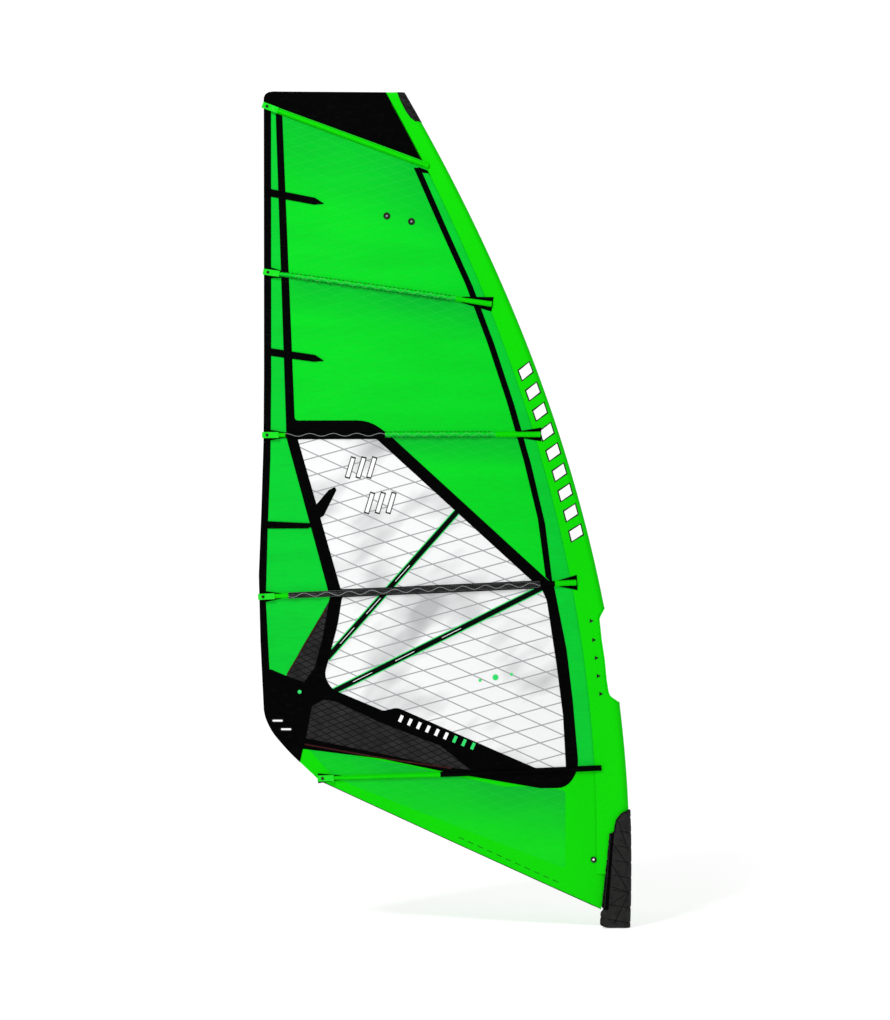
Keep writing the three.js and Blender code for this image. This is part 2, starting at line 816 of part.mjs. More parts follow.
function batten(k) {
  const number = k + 1;
  const length = battenLength(k);
  const start = CAP_LENGTH + 0.8;
  const stations = Array.from({ length: 9 }, (_, i) => mix(start, length, i / 8));
  const wide = pocketSection(POCKET_HALF_DEPTH, POCKET_HALF_WIDTH);
  const narrow = pocketSection(POCKET_HALF_DEPTH - POCKET_WALL, POCKET_HALF_WIDTH - POCKET_WALL);
  const outer = ringBody(stations.map((distance) => ringAt(k, distance, wide)));
  const hollow = [start - 1, ...stations.slice(1, -1), length - 5];
  const inner = ringBody(hollow.map((distance) => ringAt(k, distance, narrow)));
  const material = k === 3 || k === 4 ? GRID_FILM : PANEL_GREEN;
  add(`pocket_${number}`, outer.subtract(inner), material);

  const rod = Array.from({ length: 8 }, (_, i) => {
    const angle = ((i + 0.5) * Math.PI) / 4;
    return [BATTEN_R * Math.cos(angle), BATTEN_R * Math.sin(angle)];
  });
  const rodStart = CUP_START + CUP_WEB + 0.5;
  const rodStations = [rodStart, CAP_LENGTH, ...stations.slice(1, -1), length - 8];
  const rodRings = rodStations.map((distance) =>
    distance <= CAP_LENGTH ? straightRing(k, distance, rod) : ringAt(k, distance, rod),
  );
  add(`batten_${number}`, ringBody(rodRings), GLASS_ROD);
  tensioner(k);
}

// The tensioner's own frame: X along the batten from the leech inwards, Y through the cloth.
function tensionerPlace(k) {
  const start = battenPoint(k, 0);
  const { ahead, through, up } = battenAxes(k, CAP_LENGTH / 2);
  return new THREE.Matrix4().makeBasis(ahead, through, up).setPosition(start);
}

function straightRing(k, distance, section) {
  const place = tensionerPlace(k);
  return section.map(([y, z]) => new THREE.Vector3(distance, y, z).applyMatrix4(place).toArray());
}

// A bar along the tensioner's X axis with a regular section.
function stub(radius, from, to, sides) {
  const geometry = new THREE.CylinderGeometry(radius, radius, to - from, sides);
  return solid(geometry.rotateZ(-Math.PI / 2).translate((from + to) / 2, 0, 0));
}

function tensioner(k) {
  const number = k + 1;
  const place = new THREE.Group();
  place.applyMatrix4(tensionerPlace(k));
  sail.add(place);

  const width = 2 * CAP_HALF_WIDTH;
  const length = CAP_LENGTH + CAP_OVERHANG;
  const centre = [length / 2 - CAP_OVERHANG, 0, 0];
  const cap = block([length, 2 * CAP_HALF_DEPTH, width], centre)
    .subtract(stub(4.9, -CAP_OVERHANG - 1, SHOULDER_NEAR, 14))
    .subtract(stub(SCREW_R + 0.5, 0, SHOULDER_FAR + 1, 12))
    .subtract(stub(CUP_R + 0.45, SHOULDER_FAR, CAP_LENGTH + 1, 6));
  add(`cap_${number}`, cap, PLASTIC, place);

  const screw = stub(4.4, 0.6, SHOULDER_NEAR - 0.4, 14)
    .add(stub(SCREW_R, SHOULDER_NEAR - 1, SCREW_END, 10))
    .subtract(stub(2.6, 0, 3.6, 6));
  add(`screw_${number}`, screw, STEEL, place);

  const cup = stub(CUP_R, CUP_START, CUP_START + CUP_LENGTH, 6)
    .subtract(stub(SCREW_R + 0.4, CUP_START - 1, CUP_START + CUP_WEB - 2, 10))
    .subtract(stub(BATTEN_R + 0.4, CUP_START + CUP_WEB, CUP_START + CUP_LENGTH + 1, 12));
  add(`cup_${number}`, cup, NYLON, place);
}

// ---- assembly ----
edgePanels();
windows();
gridFilm();
windowFrame();
greenPanels();
panel("head_panel", [...box(-1800, 3300, 0, 4000)], BLACK);
panel("foot_panel", [...box(-1600, 0, 0, 900)], PANEL_GREEN, [eyeletHole(TACK_EYELET)]);

trim(
  "strut_upper",
  [
    [-760, 1936],
    [-782, 1955],
    [-1376, 1284],
    [-1354, 1266],
  ],
  BLACK,
);
trim(
  "strut_lower",
  [
    [-370, 1577],
    [-386, 1598],
    [-1344, 1121],
    [-1330, 1098],
  ],
  BLACK,
);
const MINI_BATTENS = [
  { top: 3456, foot: 3418, tip: 3382, tipX: -1392, tipHalf: 3 },
  { top: 2712, foot: 2674, tip: 2648, tipX: -1392, tipHalf: 3 },
  { top: 1898, foot: 1866, tip: 1877, tipX: -1443, tipHalf: 16 },
];
MINI_BATTENS.forEach(({ top, foot, tip, tipX, tipHalf }, i) => {
  const edge = leechX(top) + 3;
  trim(
    `mini_batten_${i + 1}`,
    [
      [edge, top],
      [tipX, tip + tipHalf],
      [tipX, tip - tipHalf],
      [edge, foot],
    ],
    BLACK,
  );
});

sleeve();
headPatch();
padHalf("fairing_flap", -1, PAD);
padHalf("fairing_back", 1, PAD);
tackPlate();
pulleyStrap();
pulleyBlock();
BATTENS.forEach((_, k) => batten(k));
addEyelet("tack_eyelet", TACK_EYELET, EYELET);
CLEW_EYELETS.forEach((eyelet, i) => addEyelet(`clew_eyelet_${i + 1}`, eyelet, EYELET));

export default sail;
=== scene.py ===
"""A windsurf wave sail in its rigged shape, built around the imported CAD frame. Metres, +Z up."""

import math

import bmesh
import bpy
import numpy as np
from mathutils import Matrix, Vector, noise
from mathutils.bvhtree import BVHTree
from mathutils.geometry import delaunay_2d_cdt


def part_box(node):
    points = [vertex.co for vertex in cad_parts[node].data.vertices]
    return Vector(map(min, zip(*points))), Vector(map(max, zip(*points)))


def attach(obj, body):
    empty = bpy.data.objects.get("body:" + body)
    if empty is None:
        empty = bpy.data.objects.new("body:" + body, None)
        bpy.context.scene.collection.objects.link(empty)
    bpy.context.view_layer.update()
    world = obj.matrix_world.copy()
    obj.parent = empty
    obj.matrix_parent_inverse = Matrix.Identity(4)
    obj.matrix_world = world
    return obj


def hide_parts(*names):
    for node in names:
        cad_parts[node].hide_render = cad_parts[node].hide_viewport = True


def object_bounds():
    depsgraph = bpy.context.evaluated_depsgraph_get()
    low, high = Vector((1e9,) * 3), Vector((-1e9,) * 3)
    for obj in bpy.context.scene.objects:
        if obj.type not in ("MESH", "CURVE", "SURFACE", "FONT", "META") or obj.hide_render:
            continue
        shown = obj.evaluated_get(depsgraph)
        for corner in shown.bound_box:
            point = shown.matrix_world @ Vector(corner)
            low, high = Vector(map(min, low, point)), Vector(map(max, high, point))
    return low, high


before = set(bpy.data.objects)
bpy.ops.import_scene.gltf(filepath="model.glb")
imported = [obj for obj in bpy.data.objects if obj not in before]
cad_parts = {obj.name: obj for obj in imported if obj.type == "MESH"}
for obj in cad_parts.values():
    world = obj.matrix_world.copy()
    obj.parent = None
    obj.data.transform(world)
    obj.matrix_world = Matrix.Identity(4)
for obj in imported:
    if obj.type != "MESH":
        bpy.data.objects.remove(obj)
cad_low, cad_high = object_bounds()

# ---------------------------------------------------------------- driving sizes, in metres
HEIGHT = 3.904
MAST_RAKE = 0.180
MAST_BEND = 1.222
LEECH_X = -1.672
LEECH_BULGE = 0.026
LEECH_BULGE_Z = 1.546
LEECH_BULGE_BELOW = 0.330
LEECH_BULGE_ABOVE = 0.480
FOOT_RISE = -0.4566
FOOT_Z = 0.042
SAIL_TOP_DEPTH = 0.072
SAIL_FOOT_DEPTH = 0.010
CAMBER_SCALE = 5.38  # brings back * (1 - back) ** 1.5 up to 1 where the sail is deepest
TWIST = 0.040
SAG = 0.011

SLEEVE_FOOT_R = 0.0305
SLEEVE_HEAD_R = 0.021
SLEEVE_FOOT_Z = 0.250
SLEEVE_WALL = 0.0009
SEAM_BACK_FOOT = 0.129
SEAM_BACK_HEAD = 0.058
TAIL_LAP = 0.0045
TAIL_HALF = 0.0017
HALF_GIRTH = 0.15  # half the sleeve's section, near enough, in its flat plan

POCKET_RISE = 0.005184
POCKET_FLANGE = 0.0035
POCKET_CLOTH = 0.0006
POCKET_START = 0.068  # where a pocket leaves its cap, from the leech end of the batten
POCKET_OVERRUN = 0.002

CLOTH = 0.0005
PATCH = 0.0009
PRINT = 0.0002
ON_CLOTH = 0.0003  # the gap below a patch or print that lies on a panel
SEAM_SWING = 0.0022
SEAM_PERIOD = 0.012
SEAM_THREAD = 0.0004
STEP = 0.016
WELD = 0.00002

# A pad's foam: its voxel, how far it may swell, and the quilting sewn into it.
VOXEL = 0.0042
SWELL = 0.0020
SWELL_INSIDE = 0.0003
CLOTH_STEPS = 20
QUILT_DEPTH = 0.0022
QUILT_WIDTH = 0.0045
RIB_PITCH = 0.070
RIB_FIRST = 0.036
RIB_FALL = 0.16
RIB_FALL_FROM = 0.03

WHITE = (1.0, 1.0, 1.0, 1.0)
FLOOR_RADIUS = 9.0
FLOOR_GAP = 0.002
SENSOR = 36.0
CAMERA_DISTANCE = 16.0
PICTURE_SHARE = 0.81961  # of the picture's height, filled by the sail

# Each batten's centreline on the sail in X and Z, from the leech to the luff.
BATTENS = [
    ((-1.677, 3.841), (-0.908, 3.560)),
    ((-1.674, 3.064), (-0.612, 2.914)),
    ((-1.679, 2.302), (-0.385, 2.305)),
    ((-1.698, 1.546), (-0.217, 1.613)),
    ((-1.420, 0.698), (-0.100, 0.747)),
]
CLEW = Vector((-1.59, 0.0, 0.95))


# ---------------------------------------------------------------- the sail's form
def mix(a, b, t):
    return a + (b - a) * t


def clamp(t):
    return min(max(t, 0.0), 1.0)


def smooth(t):
    t = clamp(t)
    return t * t * (3 - 2 * t)


def mast_x(z):
    up = z / HEIGHT
    return MAST_RAKE * up - MAST_BEND * up * up


def mast_lean(z):
    """How much longer the level section of the bent mast is than its square section."""
    return math.hypot(1, (MAST_RAKE - 2 * MAST_BEND * z / HEIGHT) / HEIGHT)


def sleeve_radius(z):
    return mix(SLEEVE_FOOT_R, SLEEVE_HEAD_R, z / HEIGHT)


def seam_x(z):
    return mast_x(z) - mix(SEAM_BACK_FOOT, SEAM_BACK_HEAD, z / HEIGHT)


def leech_x(z):
    spread = LEECH_BULGE_BELOW if z < LEECH_BULGE_Z else LEECH_BULGE_ABOVE
    return LEECH_X - LEECH_BULGE * math.exp(-(((z - LEECH_BULGE_Z) / spread) ** 2))


def sail_y(x, z):
    """The cambered surface that the CAD panels follow."""
    up = clamp(z / HEIGHT)
    back = clamp((mast_x(z) - x) / (mast_x(z) - leech_x(z)))
    depth = mix(SAIL_FOOT_DEPTH, SAIL_TOP_DEPTH, math.sin(math.pi * up**0.85))
    return -depth * CAMBER_SCALE * back * (1 - back) ** 1.5 - TWIST * up * up * back * back


def ripple(x, z):
    """Small creases: short waves along the cloth, and fine ones that fan out from the clew."""
    drift = noise.noise(Vector((x * 1.6, z * 5.5, 3.1)))
    short = noise.noise(Vector((x * 5.0, z * 16.0, 8.7)))
    away = math.hypot(x - CLEW.x, z - CLEW.z)
    fan = math.sin(math.atan2(z - CLEW.z, x - CLEW.x) * 46.0) * math.exp(-away / 0.55)
    calm = smooth((away - 0.08) / 0.25) * smooth((seam_x(z) - x) / 0.12) * smooth((x - leech_x(z)) / 0.1)
    return calm * (0.0016 * drift + 0.0007 * short + 0.0009 * fan)


def batten_z(index, x):
    (x0, z0), (x1, z1) = BATTENS[index]
    return mix(z0, z1, clamp((x - x0) / (x1 - x0)))


def batten_length(index):
    return math.dist(*BATTENS[index])


def along_x(index, x):
    """How far along a batten a given X lies."""
    (x0, _), (x1, _) = BATTENS[index]
    return (x - x0) / (x1 - x0) * batten_length(index)


def sag(x, z):
    """The cloth between two battens is blown a little less deep than on them."""
    gaps = [z - batten_z(i, x) for i in range(len(BATTENS))]
    above = min((-g for g in gaps if g <= 0), default=0.0)
    below = min((g for g in gaps if g > 0), default=0.0)
    if not above or not below:
        return 0.0
    share = below / (above + below)
    hollow = (1 - share) ** 0.55 * share * 2.6
    hold = smooth((seam_x(z) - x) / 0.30) * smooth((x - leech_x(z)) / 0.30)
    return SAG * hollow * hold


def cloth_y(x, z):
    return sail_y(x, z) + ripple(x, z) + sag(x, z)


def sleeve_face_y(x, z, side):
    share = clamp((x - seam_x(z)) / (mast_x(z) - seam_x(z)))
    at_seam = sail_y(seam_x(z), z)
    return mix(at_seam, 0.0, share) + side * mix(0.0014, sleeve_radius(z) + 0.002, share)


def rod_line(index):
    """A CAD batten's axis, as the distances along it and the Y at each of its sections."""
    (x0, z0), (x1, z1) = BATTENS[index]
    way = Vector((x1 - x0, z1 - z0)).normalized()
    sections = {}
    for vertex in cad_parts["batten_%d" % (index + 1)].data.vertices:
        along = (vertex.co.x - x0) * way.x + (vertex.co.z - z0) * way.y
        sections.setdefault(round(along / 0.012), []).append((along, vertex.co.y))
    rows = []
    for points in sections.values():
        ys = [y for _, y in points]
        rows.append((sum(a for a, _ in points) / len(points), (min(ys) + max(ys)) / 2))
    return np.array(sorted(rows)).T


ROD_LINES = [rod_line(index) for index in range(len(BATTENS))]


def batten_y(index, x):
    return float(np.interp(along_x(index, x), *ROD_LINES[index]))


# ---------------------------------------------------------------- outlines
def rounded(corners, closed=True, arc=6):
    """A polyline through (x, z) or (x, z, radius) corners, with the corners rounded."""
    count = len(corners)
    points = []
    for i, corner in enumerate(corners):
        here = Vector(corner[:2])
        radius = corner[2] if len(corner) > 2 else 0.0
        if not radius or (not closed and i in (0, count - 1)):
            points.append(here)
            continue
        before = (Vector(corners[i - 1][:2]) - here).normalized()
        after = (Vector(corners[(i + 1) % count][:2]) - here).normalized()
        half = before.angle(after) / 2
        run = radius / math.tan(half)
        for k in range(arc + 1):
            t = k / arc
            a, b = here + before * run, here + after * run
            points.append(a * (1 - t) ** 2 + here * 2 * t * (1 - t) + b * t * t)
    return points


def resample(points, step, closed=True):
    """The same line with its long edges cut into lengths of at most step."""
    ends = points[1:] + points[:1] if closed else points[1:]
    out = []
    for a, b in zip(points, ends):
        parts = max(1, math.ceil((b - a).length / step))
        out += [a.lerp(b, k / parts) for k in range(parts)]
    return out if closed else out + [points[-1]]


def signed_area(points):
    return 0.5 * sum(a.x * b.y - b.x * a.y for a, b in zip(points, points[1:] + points[:1]))


def grow(points, distance):
    """An outline moved outwards; points run anticlockwise, and clockwise round a hole."""
    count = len(points)
    out = []
    for i, here in enumerate(points):
        ahead = (points[(i + 1) % count] - here).normalized()
        behind = (here - points[i - 1]).normalized()
        turn = ahead + behind
        turn = turn.normalized() if turn.length > 1e-6 else ahead
        outward = Vector((turn.y, -turn.x))
        reach = max(0.5, outward.dot(Vector((ahead.y, -ahead.x))))
        out.append(here + outward * distance / reach)
    return out


def straightened(points, slack=0.00015):
    """The outline without the points that lie on a straight line between their neighbours."""
    kept = []
    count = len(points)
    for i, here in enumerate(points):
        before = kept[-1] if kept else points[-1]
        after = points[(i + 1) % count]
        chord = after - before
        if chord.length < 1e-9:
            continue
        off = abs(chord.x * (here.y - before.y) - chord.y * (here.x - before.x)) / chord.length
        if off > slack or (here - before).length > 0.2:
            kept.append(here)
    return kept


def node_outline(name):
    """The edges of a CAD panel's near face as loops in X and Z: the outer one first, then its holes."""
    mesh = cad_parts[name].data
    key = [(round(v.co.x, 5), round(v.co.y, 5), round(v.co.z, 5)) for v in mesh.vertices]
    faces = {}
    for polygon in mesh.polygons:
        if polygon.normal.y < -0.3:
            ring = [key[i] for i in polygon.vertices]
            for a, b in zip(ring, ring[1:] + ring[:1]):
                faces[(a, b)] = faces.get((a, b), 0) + 1
    following = {}
    for a, b in faces:
        if (b, a) not in faces and a != b:
            following.setdefault(a, []).append(b)
    loops = []
    while following:
        start = next(iter(following))
        loop = []
        here = start
        while here in following:
            loop.append(here)
            choices = following[here]
            there = choices.pop()
            if not choices:
                del following[here]
            here = there
            if here == start:
                break
        flat = straightened([Vector((p[0], p[2])) for p in loop])
        if len(flat) > 2 and abs(signed_area(flat)) > 2e-5:
            loops.append(flat)
    loops.sort(key=lambda points: -abs(signed_area(points)))
    return loops if signed_area(loops[0]) > 0 else [points[::-1] for points in loops]


def inside(points, loops):
    """Which of an array of points lie inside the loops, by crossings."""
    x, z = points[:, 0:1], points[:, 1:2]
    hits = np.zeros(len(points), int)
    for loop in loops:
        a = np.array([tuple(p) for p in loop])
        b = np.roll(a, -1, axis=0)
        spans = (a[:, 1] > z) != (b[:, 1] > z)
        rise = np.where(np.abs(b[:, 1] - a[:, 1]) < 1e-12, 1e-12, b[:, 1] - a[:, 1])
        cross = a[:, 0] + (z - a[:, 1]) * (b[:, 0] - a[:, 0]) / rise
        hits += (spans & (x < cross)).sum(axis=1)
    return hits % 2 == 1


def edge_distance(points, loops):
    best = np.full(len(points), 1e9)
    for loop in loops:
        a = np.array([tuple(p) for p in loop])
        span = np.roll(a, -1, axis=0) - a
        size = np.maximum((span**2).sum(axis=1), 1e-18)
        for start, way, length2 in zip(a, span, size):
            t = np.clip(((points - start) @ way) / length2, 0, 1)
            off = points - start - t[:, None] * way
            best = np.minimum(best, np.hypot(off[:, 0], off[:, 1]))
    return best


def triangulated(loops, step):
    """Points and anticlockwise triangles that fill the loops, with an even grid inside."""
    loops = [resample(points, step) for points in loops]
    low = np.min([[p.x, p.y] for p in loops[0]], axis=0)
    high = np.max([[p.x, p.y] for p in loops[0]], axis=0)
    rows = np.arange(low[1] + step / 2, high[1], step * 0.87)
    grid = [
        (x, z)
        for i, z in enumerate(rows)
        for x in np.arange(low[0] + (i % 2) * step / 2, high[0], step)
    ]
    if grid:
        grid = np.array(grid)
        grid = grid[inside(grid, loops)]
    if len(grid):
        grid = grid[edge_distance(grid, loops) > step * 0.45]
    points = [p for loop in loops for p in loop]
    edges = []
    first = 0
    for loop in loops:
        edges += [(first + i, first + (i + 1) % len(loop)) for i in range(len(loop))]
        first += len(loop)
    points += [Vector(p) for p in grid]
    flat, _, triangles, *_ = delaunay_2d_cdt(points, edges, [], 0, 1e-6)
    middles = np.array([tuple((flat[a] + flat[b] + flat[c]) / 3) for a, b, c in triangles])
    keep = inside(middles, loops)
    chosen = []
    for triangle, kept in zip(triangles, keep):
        if kept:
            a, b, c = (flat[i] for i in triangle)
            turned = (b - a).cross(c - a) < 0
            chosen.append(tuple(triangle[::-1]) if turned else tuple(triangle))
    used = sorted({i for triangle in chosen for i in triangle})
    number = {old: new for new, old in enumerate(used)}
    return [flat[i] for i in used], [tuple(number[i] for i in t) for t in chosen]


# ---------------------------------------------------------------- mesh pieces
def new_object(name, verts, faces, material, sharp=50):
    mesh = bpy.data.meshes.new(name)
    mesh.from_pydata([tuple(v) for v in verts], [], faces)
    mesh.validate()
    mesh.shade_smooth()
    mesh.set_sharp_from_angle(angle=math.radians(sharp))
    mesh.materials.append(material)
    piece = bpy.data.objects.new(name, mesh)
    bpy.context.scene.collection.objects.link(piece)
    return piece


def cover(piece, material):
    piece.data.materials.clear()
    piece.data.materials.append(material)


def copy_of(node, name, flatten=False):
    """A copy of a CAD piece as one joined mesh; flatten also joins faces that lie in one plane."""
    piece = bpy.data.objects.new(name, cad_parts[node].data.copy())
    bpy.context.scene.collection.objects.link(piece)
    weld(piece, WELD, flatten)
    return piece


def weld(piece, reach, flatten=False):
    mesh = bmesh.new()
    mesh.from_mesh(piece.data)
    bmesh.ops.remove_doubles(mesh, verts=mesh.verts, dist=reach)
    if flatten:
        bmesh.ops.dissolve_limit(mesh, angle_limit=0.02, verts=mesh.verts, edges=mesh.edges)
    mesh.to_mesh(piece.data)
    mesh.free()


def bevelled(piece, width, segments):
    bevel = piece.modifiers.new("edges", "BEVEL")
    bevel.width = width
    bevel.segments = segments
    return bevel


def skin(name, loops, place, material, lift=0.0, thick=CLOTH, step=STEP, flip=False):
    """A closed sheet over a surface: place(u, v, lift) gives a point so far outside the surface."""
    flat, triangles = triangulated(loops, step)
    count = len(flat)
    verts = [place(p.x, p.y, lift + thick) for p in flat]
    verts += [place(p.x, p.y, lift) for p in flat]
    faces = [t if not flip else t[::-1] for t in triangles]
    faces += [tuple(i + count for i in t[::-1]) for t in faces]
    edges = dict.fromkeys(e for a, b, c in faces[: len(triangles)] for e in ((a, b), (b, c), (c, a)))
    faces += [(b, a, a + count, b + count) for a, b in edges if (b, a) not in edges]
    return new_object(name, verts, faces, material)


def slab(name, columns, rows, top, under, material, sharp=50):
    """A closed piece between two grids of points, each in columns of rows + 1 points."""
    across = rows + 1
    count = len(top)
    faces = []
    for i in range(columns):
        for k in range(rows):
            a, b = i * across + k, (i + 1) * across + k
            faces.append((a, b, b + 1, a + 1))
            faces.append((a + count, a + 1 + count, b + 1 + count, b + count))
    ring = list(range(across))
    ring += [i * across + rows for i in range(1, columns + 1)]
    ring += [columns * across + k for k in reversed(range(rows))]
    ring += [i * across for i in reversed(range(1, columns))]
    for a, b in zip(ring, ring[1:] + ring[:1]):
        faces.append((a, b, b + count, a + count))
    piece = new_object(name, top + under, faces, material, sharp)
    mesh = bmesh.new()
    mesh.from_mesh(piece.data)
    bmesh.ops.recalc_face_normals(mesh, faces=mesh.faces)
    mesh.to_mesh(piece.data)
    mesh.free()
    piece.data.set_sharp_from_angle(angle=math.radians(sharp))
    return piece


def on_sail(x, z, lift):
    return Vector((x, cloth_y(x, z) - lift, z))


def frames_along(points, closed):
    """A tangent and two normals at each point, turning as little as they can."""
    count = len(points)
    tangents = []
    for i in range(count):
        a = points[i - 1] if closed or i else points[0]
        b = points[(i + 1) % count] if closed or i < count - 1 else points[-1]
        tangents.append((b - a).normalized())
    side = tangents[0].orthogonal().normalized()
    sides = []
    for tangent in tangents:
        side = (side - tangent * side.dot(tangent)).normalized()
        sides.append(side)
    return tangents, sides


def tube(name, points, radius, material, closed=False, sides=8):
    """A cord of thread or piping along a line of points, as one closed mesh."""
    verts, faces = tube_mesh(points, radius, closed, sides)
    return new_object(name, verts, faces, material)


def tube_mesh(points, radius, closed=False, sides=8, first=0):
    tangents, normals = frames_along(points, closed)
    verts = []
    for point, tangent, side in zip(points, tangents, normals):
        other = tangent.cross(side)
        for k in range(sides):
            angle = 2 * math.pi * k / sides
            verts.append(point + (side * math.cos(angle) + other * math.sin(angle)) * radius)
    count = len(points)
    faces = []
    for i in range(count if closed else count - 1):
        j = (i + 1) % count
        for k in range(sides):
            m = (k + 1) % sides
            faces.append(
                tuple(first + n for n in (i * sides + k, i * sides + m, j * sides + m, j * sides + k))
            )
    if not closed:
        faces.append(tuple(first + k for k in reversed(range(sides))))
        faces.append(tuple(first + (count - 1) * sides + k for k in range(sides)))
    return verts, faces


def threads(name, lines, radius, material, sides=4):
    """Many short tubes in one piece: stitches, or rows of zigzag thread."""
    verts, faces = [], []
    for points in lines:
        if len(points) > 1:
            v, f = tube_mesh(points, radius, False, sides, len(verts))
            verts += v
            faces += f
    return new_object(name, verts, faces, material)


def finish_piece(piece, nodes=(), body="rig"):
    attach(piece, body)
    if nodes:
        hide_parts(*nodes)
    return piece


def declare_sheet(loops):
    """Works out the panel's cut: width, length and area, but keeps none of them. A narrow band is measured
    along itself.
    """
    xs = [p.x for p in loops[0]]
    zs = [p.y for p in loops[0]]
    size = (max(xs) - min(xs), max(zs) - min(zs))
    area = sum(signed_area(points) for points in loops)
    if area < 0.4 * size[0] * size[1]:
        long_way = math.hypot(*size)
        size = (area / (0.8 * long_way), long_way)


# ---------------------------------------------------------------- materials
class Finish:
    """A Principled material whose colour, roughness and bump come from patterns in place."""

    def __init__(self, name, roughness, **sockets):
        self.material = bpy.data.materials.new(name)
        self.material.use_nodes = True
        self.tree = self.material.node_tree
        self.shader = self.tree.nodes["Principled BSDF"]
        self.shader.inputs["Roughness"].default_value = roughness
        for socket, value in sockets.items():
            self.shader.inputs[socket.replace("_", " ")].default_value = value
        self.place = self.tree.nodes.new("ShaderNodeTexCoord").outputs["Object"]

    def put(self, socket, value):
        if isinstance(value, bpy.types.NodeSocket):
            self.tree.links.new(value, socket)
        else:
            socket.default_value = value

    def math(self, operation, a, b=0.0, clamped=False):
        node = self.tree.nodes.new("ShaderNodeMath")
        node.operation = operation
        node.use_clamp = clamped
        self.put(node.inputs[0], a)
        self.put(node.inputs[1], b)
        return node.outputs[0]

    def vector(self, operation, a, b):
        node = self.tree.nodes.new("ShaderNodeVectorMath")
        node.operation = operation
        self.put(node.inputs[0], a)
        self.put(node.inputs[1], b)
        return node.outputs["Value" if operation == "DOT_PRODUCT" else "Vector"]

    def noise(self, scale, detail=2.0, stretch=(1, 1, 1), place=None):
        node = self.tree.nodes.new("ShaderNodeTexNoise")
        self.put(node.inputs["Vector"], place or self.vector("MULTIPLY", self.place, stretch))
        node.inputs["Scale"].default_value = scale
        node.inputs["Detail"].default_value = detail
        return node.outputs["Fac"]

    def ramp(self, value, low, high, out_low=0.0, out_high=1.0):
        node = self.tree.nodes.new("ShaderNodeMapRange")
        self.put(node.inputs["Value"], value)
        limits = {"From Min": low, "From Max": high, "To Min": out_low, "To Max": out_high}
        for socket, number in limits.items():
            node.inputs[socket].default_value = number
        return node.outputs["Result"]

    def lines(self, across, pitch, width, soft=0.0006):
        """Parallel lines, one every pitch along the direction across, as a mask."""
        direction = Vector(across).normalized() / pitch
        along = self.vector("DOT_PRODUCT", self.place, direction)
        saw = self.math("PINGPONG", along, 0.5)
        half = width / pitch / 2
        return self.ramp(saw, half, half + soft / pitch, 1.0, 0.0)

    def waves(self, across, pitch):
        """A smooth wave from 0 to 1, for weave and ribs."""
        direction = Vector(across).normalized() * (2 * math.pi / pitch)
        angle = self.vector("DOT_PRODUCT", self.place, direction)
        return self.ramp(self.math("SINE", angle), -1.0, 1.0)

    def weave(self, pitch):
        """A plain weave: two crossing sets of yarns, along X and Z and along Y on turned faces."""
        warp = self.waves((1, 0.35, 0), pitch)
        weft = self.waves((0, 0.35, 1), pitch)
        return self.math("MAXIMUM", warp, weft)

    def turned(self, degrees, stretch):
        """Places for a pattern whose long way is turned in the X-Z plane."""
        angle = math.radians(degrees)
        node = self.tree.nodes.new("ShaderNodeCombineXYZ")
        along = (math.cos(angle) * stretch, 0, math.sin(angle) * stretch)
        across = (-math.sin(angle), 0, math.cos(angle))
        self.put(node.inputs[0], self.vector("DOT_PRODUCT", self.place, along))
        self.put(node.inputs[2], self.vector("DOT_PRODUCT", self.place, across))
        return node.outputs[0]

    def under(self, start, end, reach):
        """A mask that is 1 just below a line from start to end in X and Z, and fades out below it."""
        a, b = Vector(start), Vector(end)
        way = (b - a).normalized()
        down = Vector((way.y, -way.x))
        level = self.vector("DOT_PRODUCT", self.place, (down.x, 0, down.y))
        depth = self.math("SUBTRACT", level, down.dot(a))
        fade = self.ramp(depth, 0.0, reach, 1.0, 0.0)
        return self.math("MULTIPLY", fade, self.ramp(depth, -0.002, 0.002))

    def blend(self, fac, a, b):
        node = self.tree.nodes.new("ShaderNodeMix")
        node.data_type = "RGBA"
        self.put(node.inputs[0], fac)
        for socket, colour in ((node.inputs[6], a), (node.inputs[7], b)):
            self.put(socket, (*colour, 1.0) if isinstance(colour, tuple) else colour)
        return node.outputs[2]

    def colour(self, value):
        self.put(self.shader.inputs["Base Color"], value)
        return self

    def rough(self, value):
        self.put(self.shader.inputs["Roughness"], value)
        return self

    def bump(self, height, distance, strength=1.0):
        node = self.tree.nodes.new("ShaderNodeBump")
        node.inputs["Distance"].default_value = distance
        node.inputs["Strength"].default_value = strength
        self.put(node.inputs["Height"], height)
        previous = self.shader.inputs["Normal"]
        if previous.is_linked:
            self.put(node.inputs["Normal"], previous.links[0].from_socket)
        self.tree.links.new(node.outputs[0], previous)
        return self


LIME = (0.003, 0.64, 0.0)
LIME_DEEP = (0.002, 0.55, 0.0)
PANEL = (0.0, 0.62, 0.014)
PANEL_DEEP = (0.0, 0.50, 0.013)
# The colour of the painted shade below the battens and below the foot strip.
PANEL_SHADE = (0.0, 0.30, 0.03)
PANEL_LINE = (0.02, 0.70, 0.06)
BLACK = (0.0003, 0.0003, 0.0004)
BLACK_WORN = (0.0025, 0.0025, 0.0027)
FILM = (0.022, 0.021, 0.022)
FILM_LINE = (0.001, 0.001, 0.001)
SCRIM_UP = (-0.26, 0, 0.966)
SCRIM_DOWN = (0.42, 0, 0.907)


def darker(colour, share):
    return tuple(c * share for c in colour)


def worn(colour, grey, share):
    return tuple(mix(c, grey, share) for c in colour)


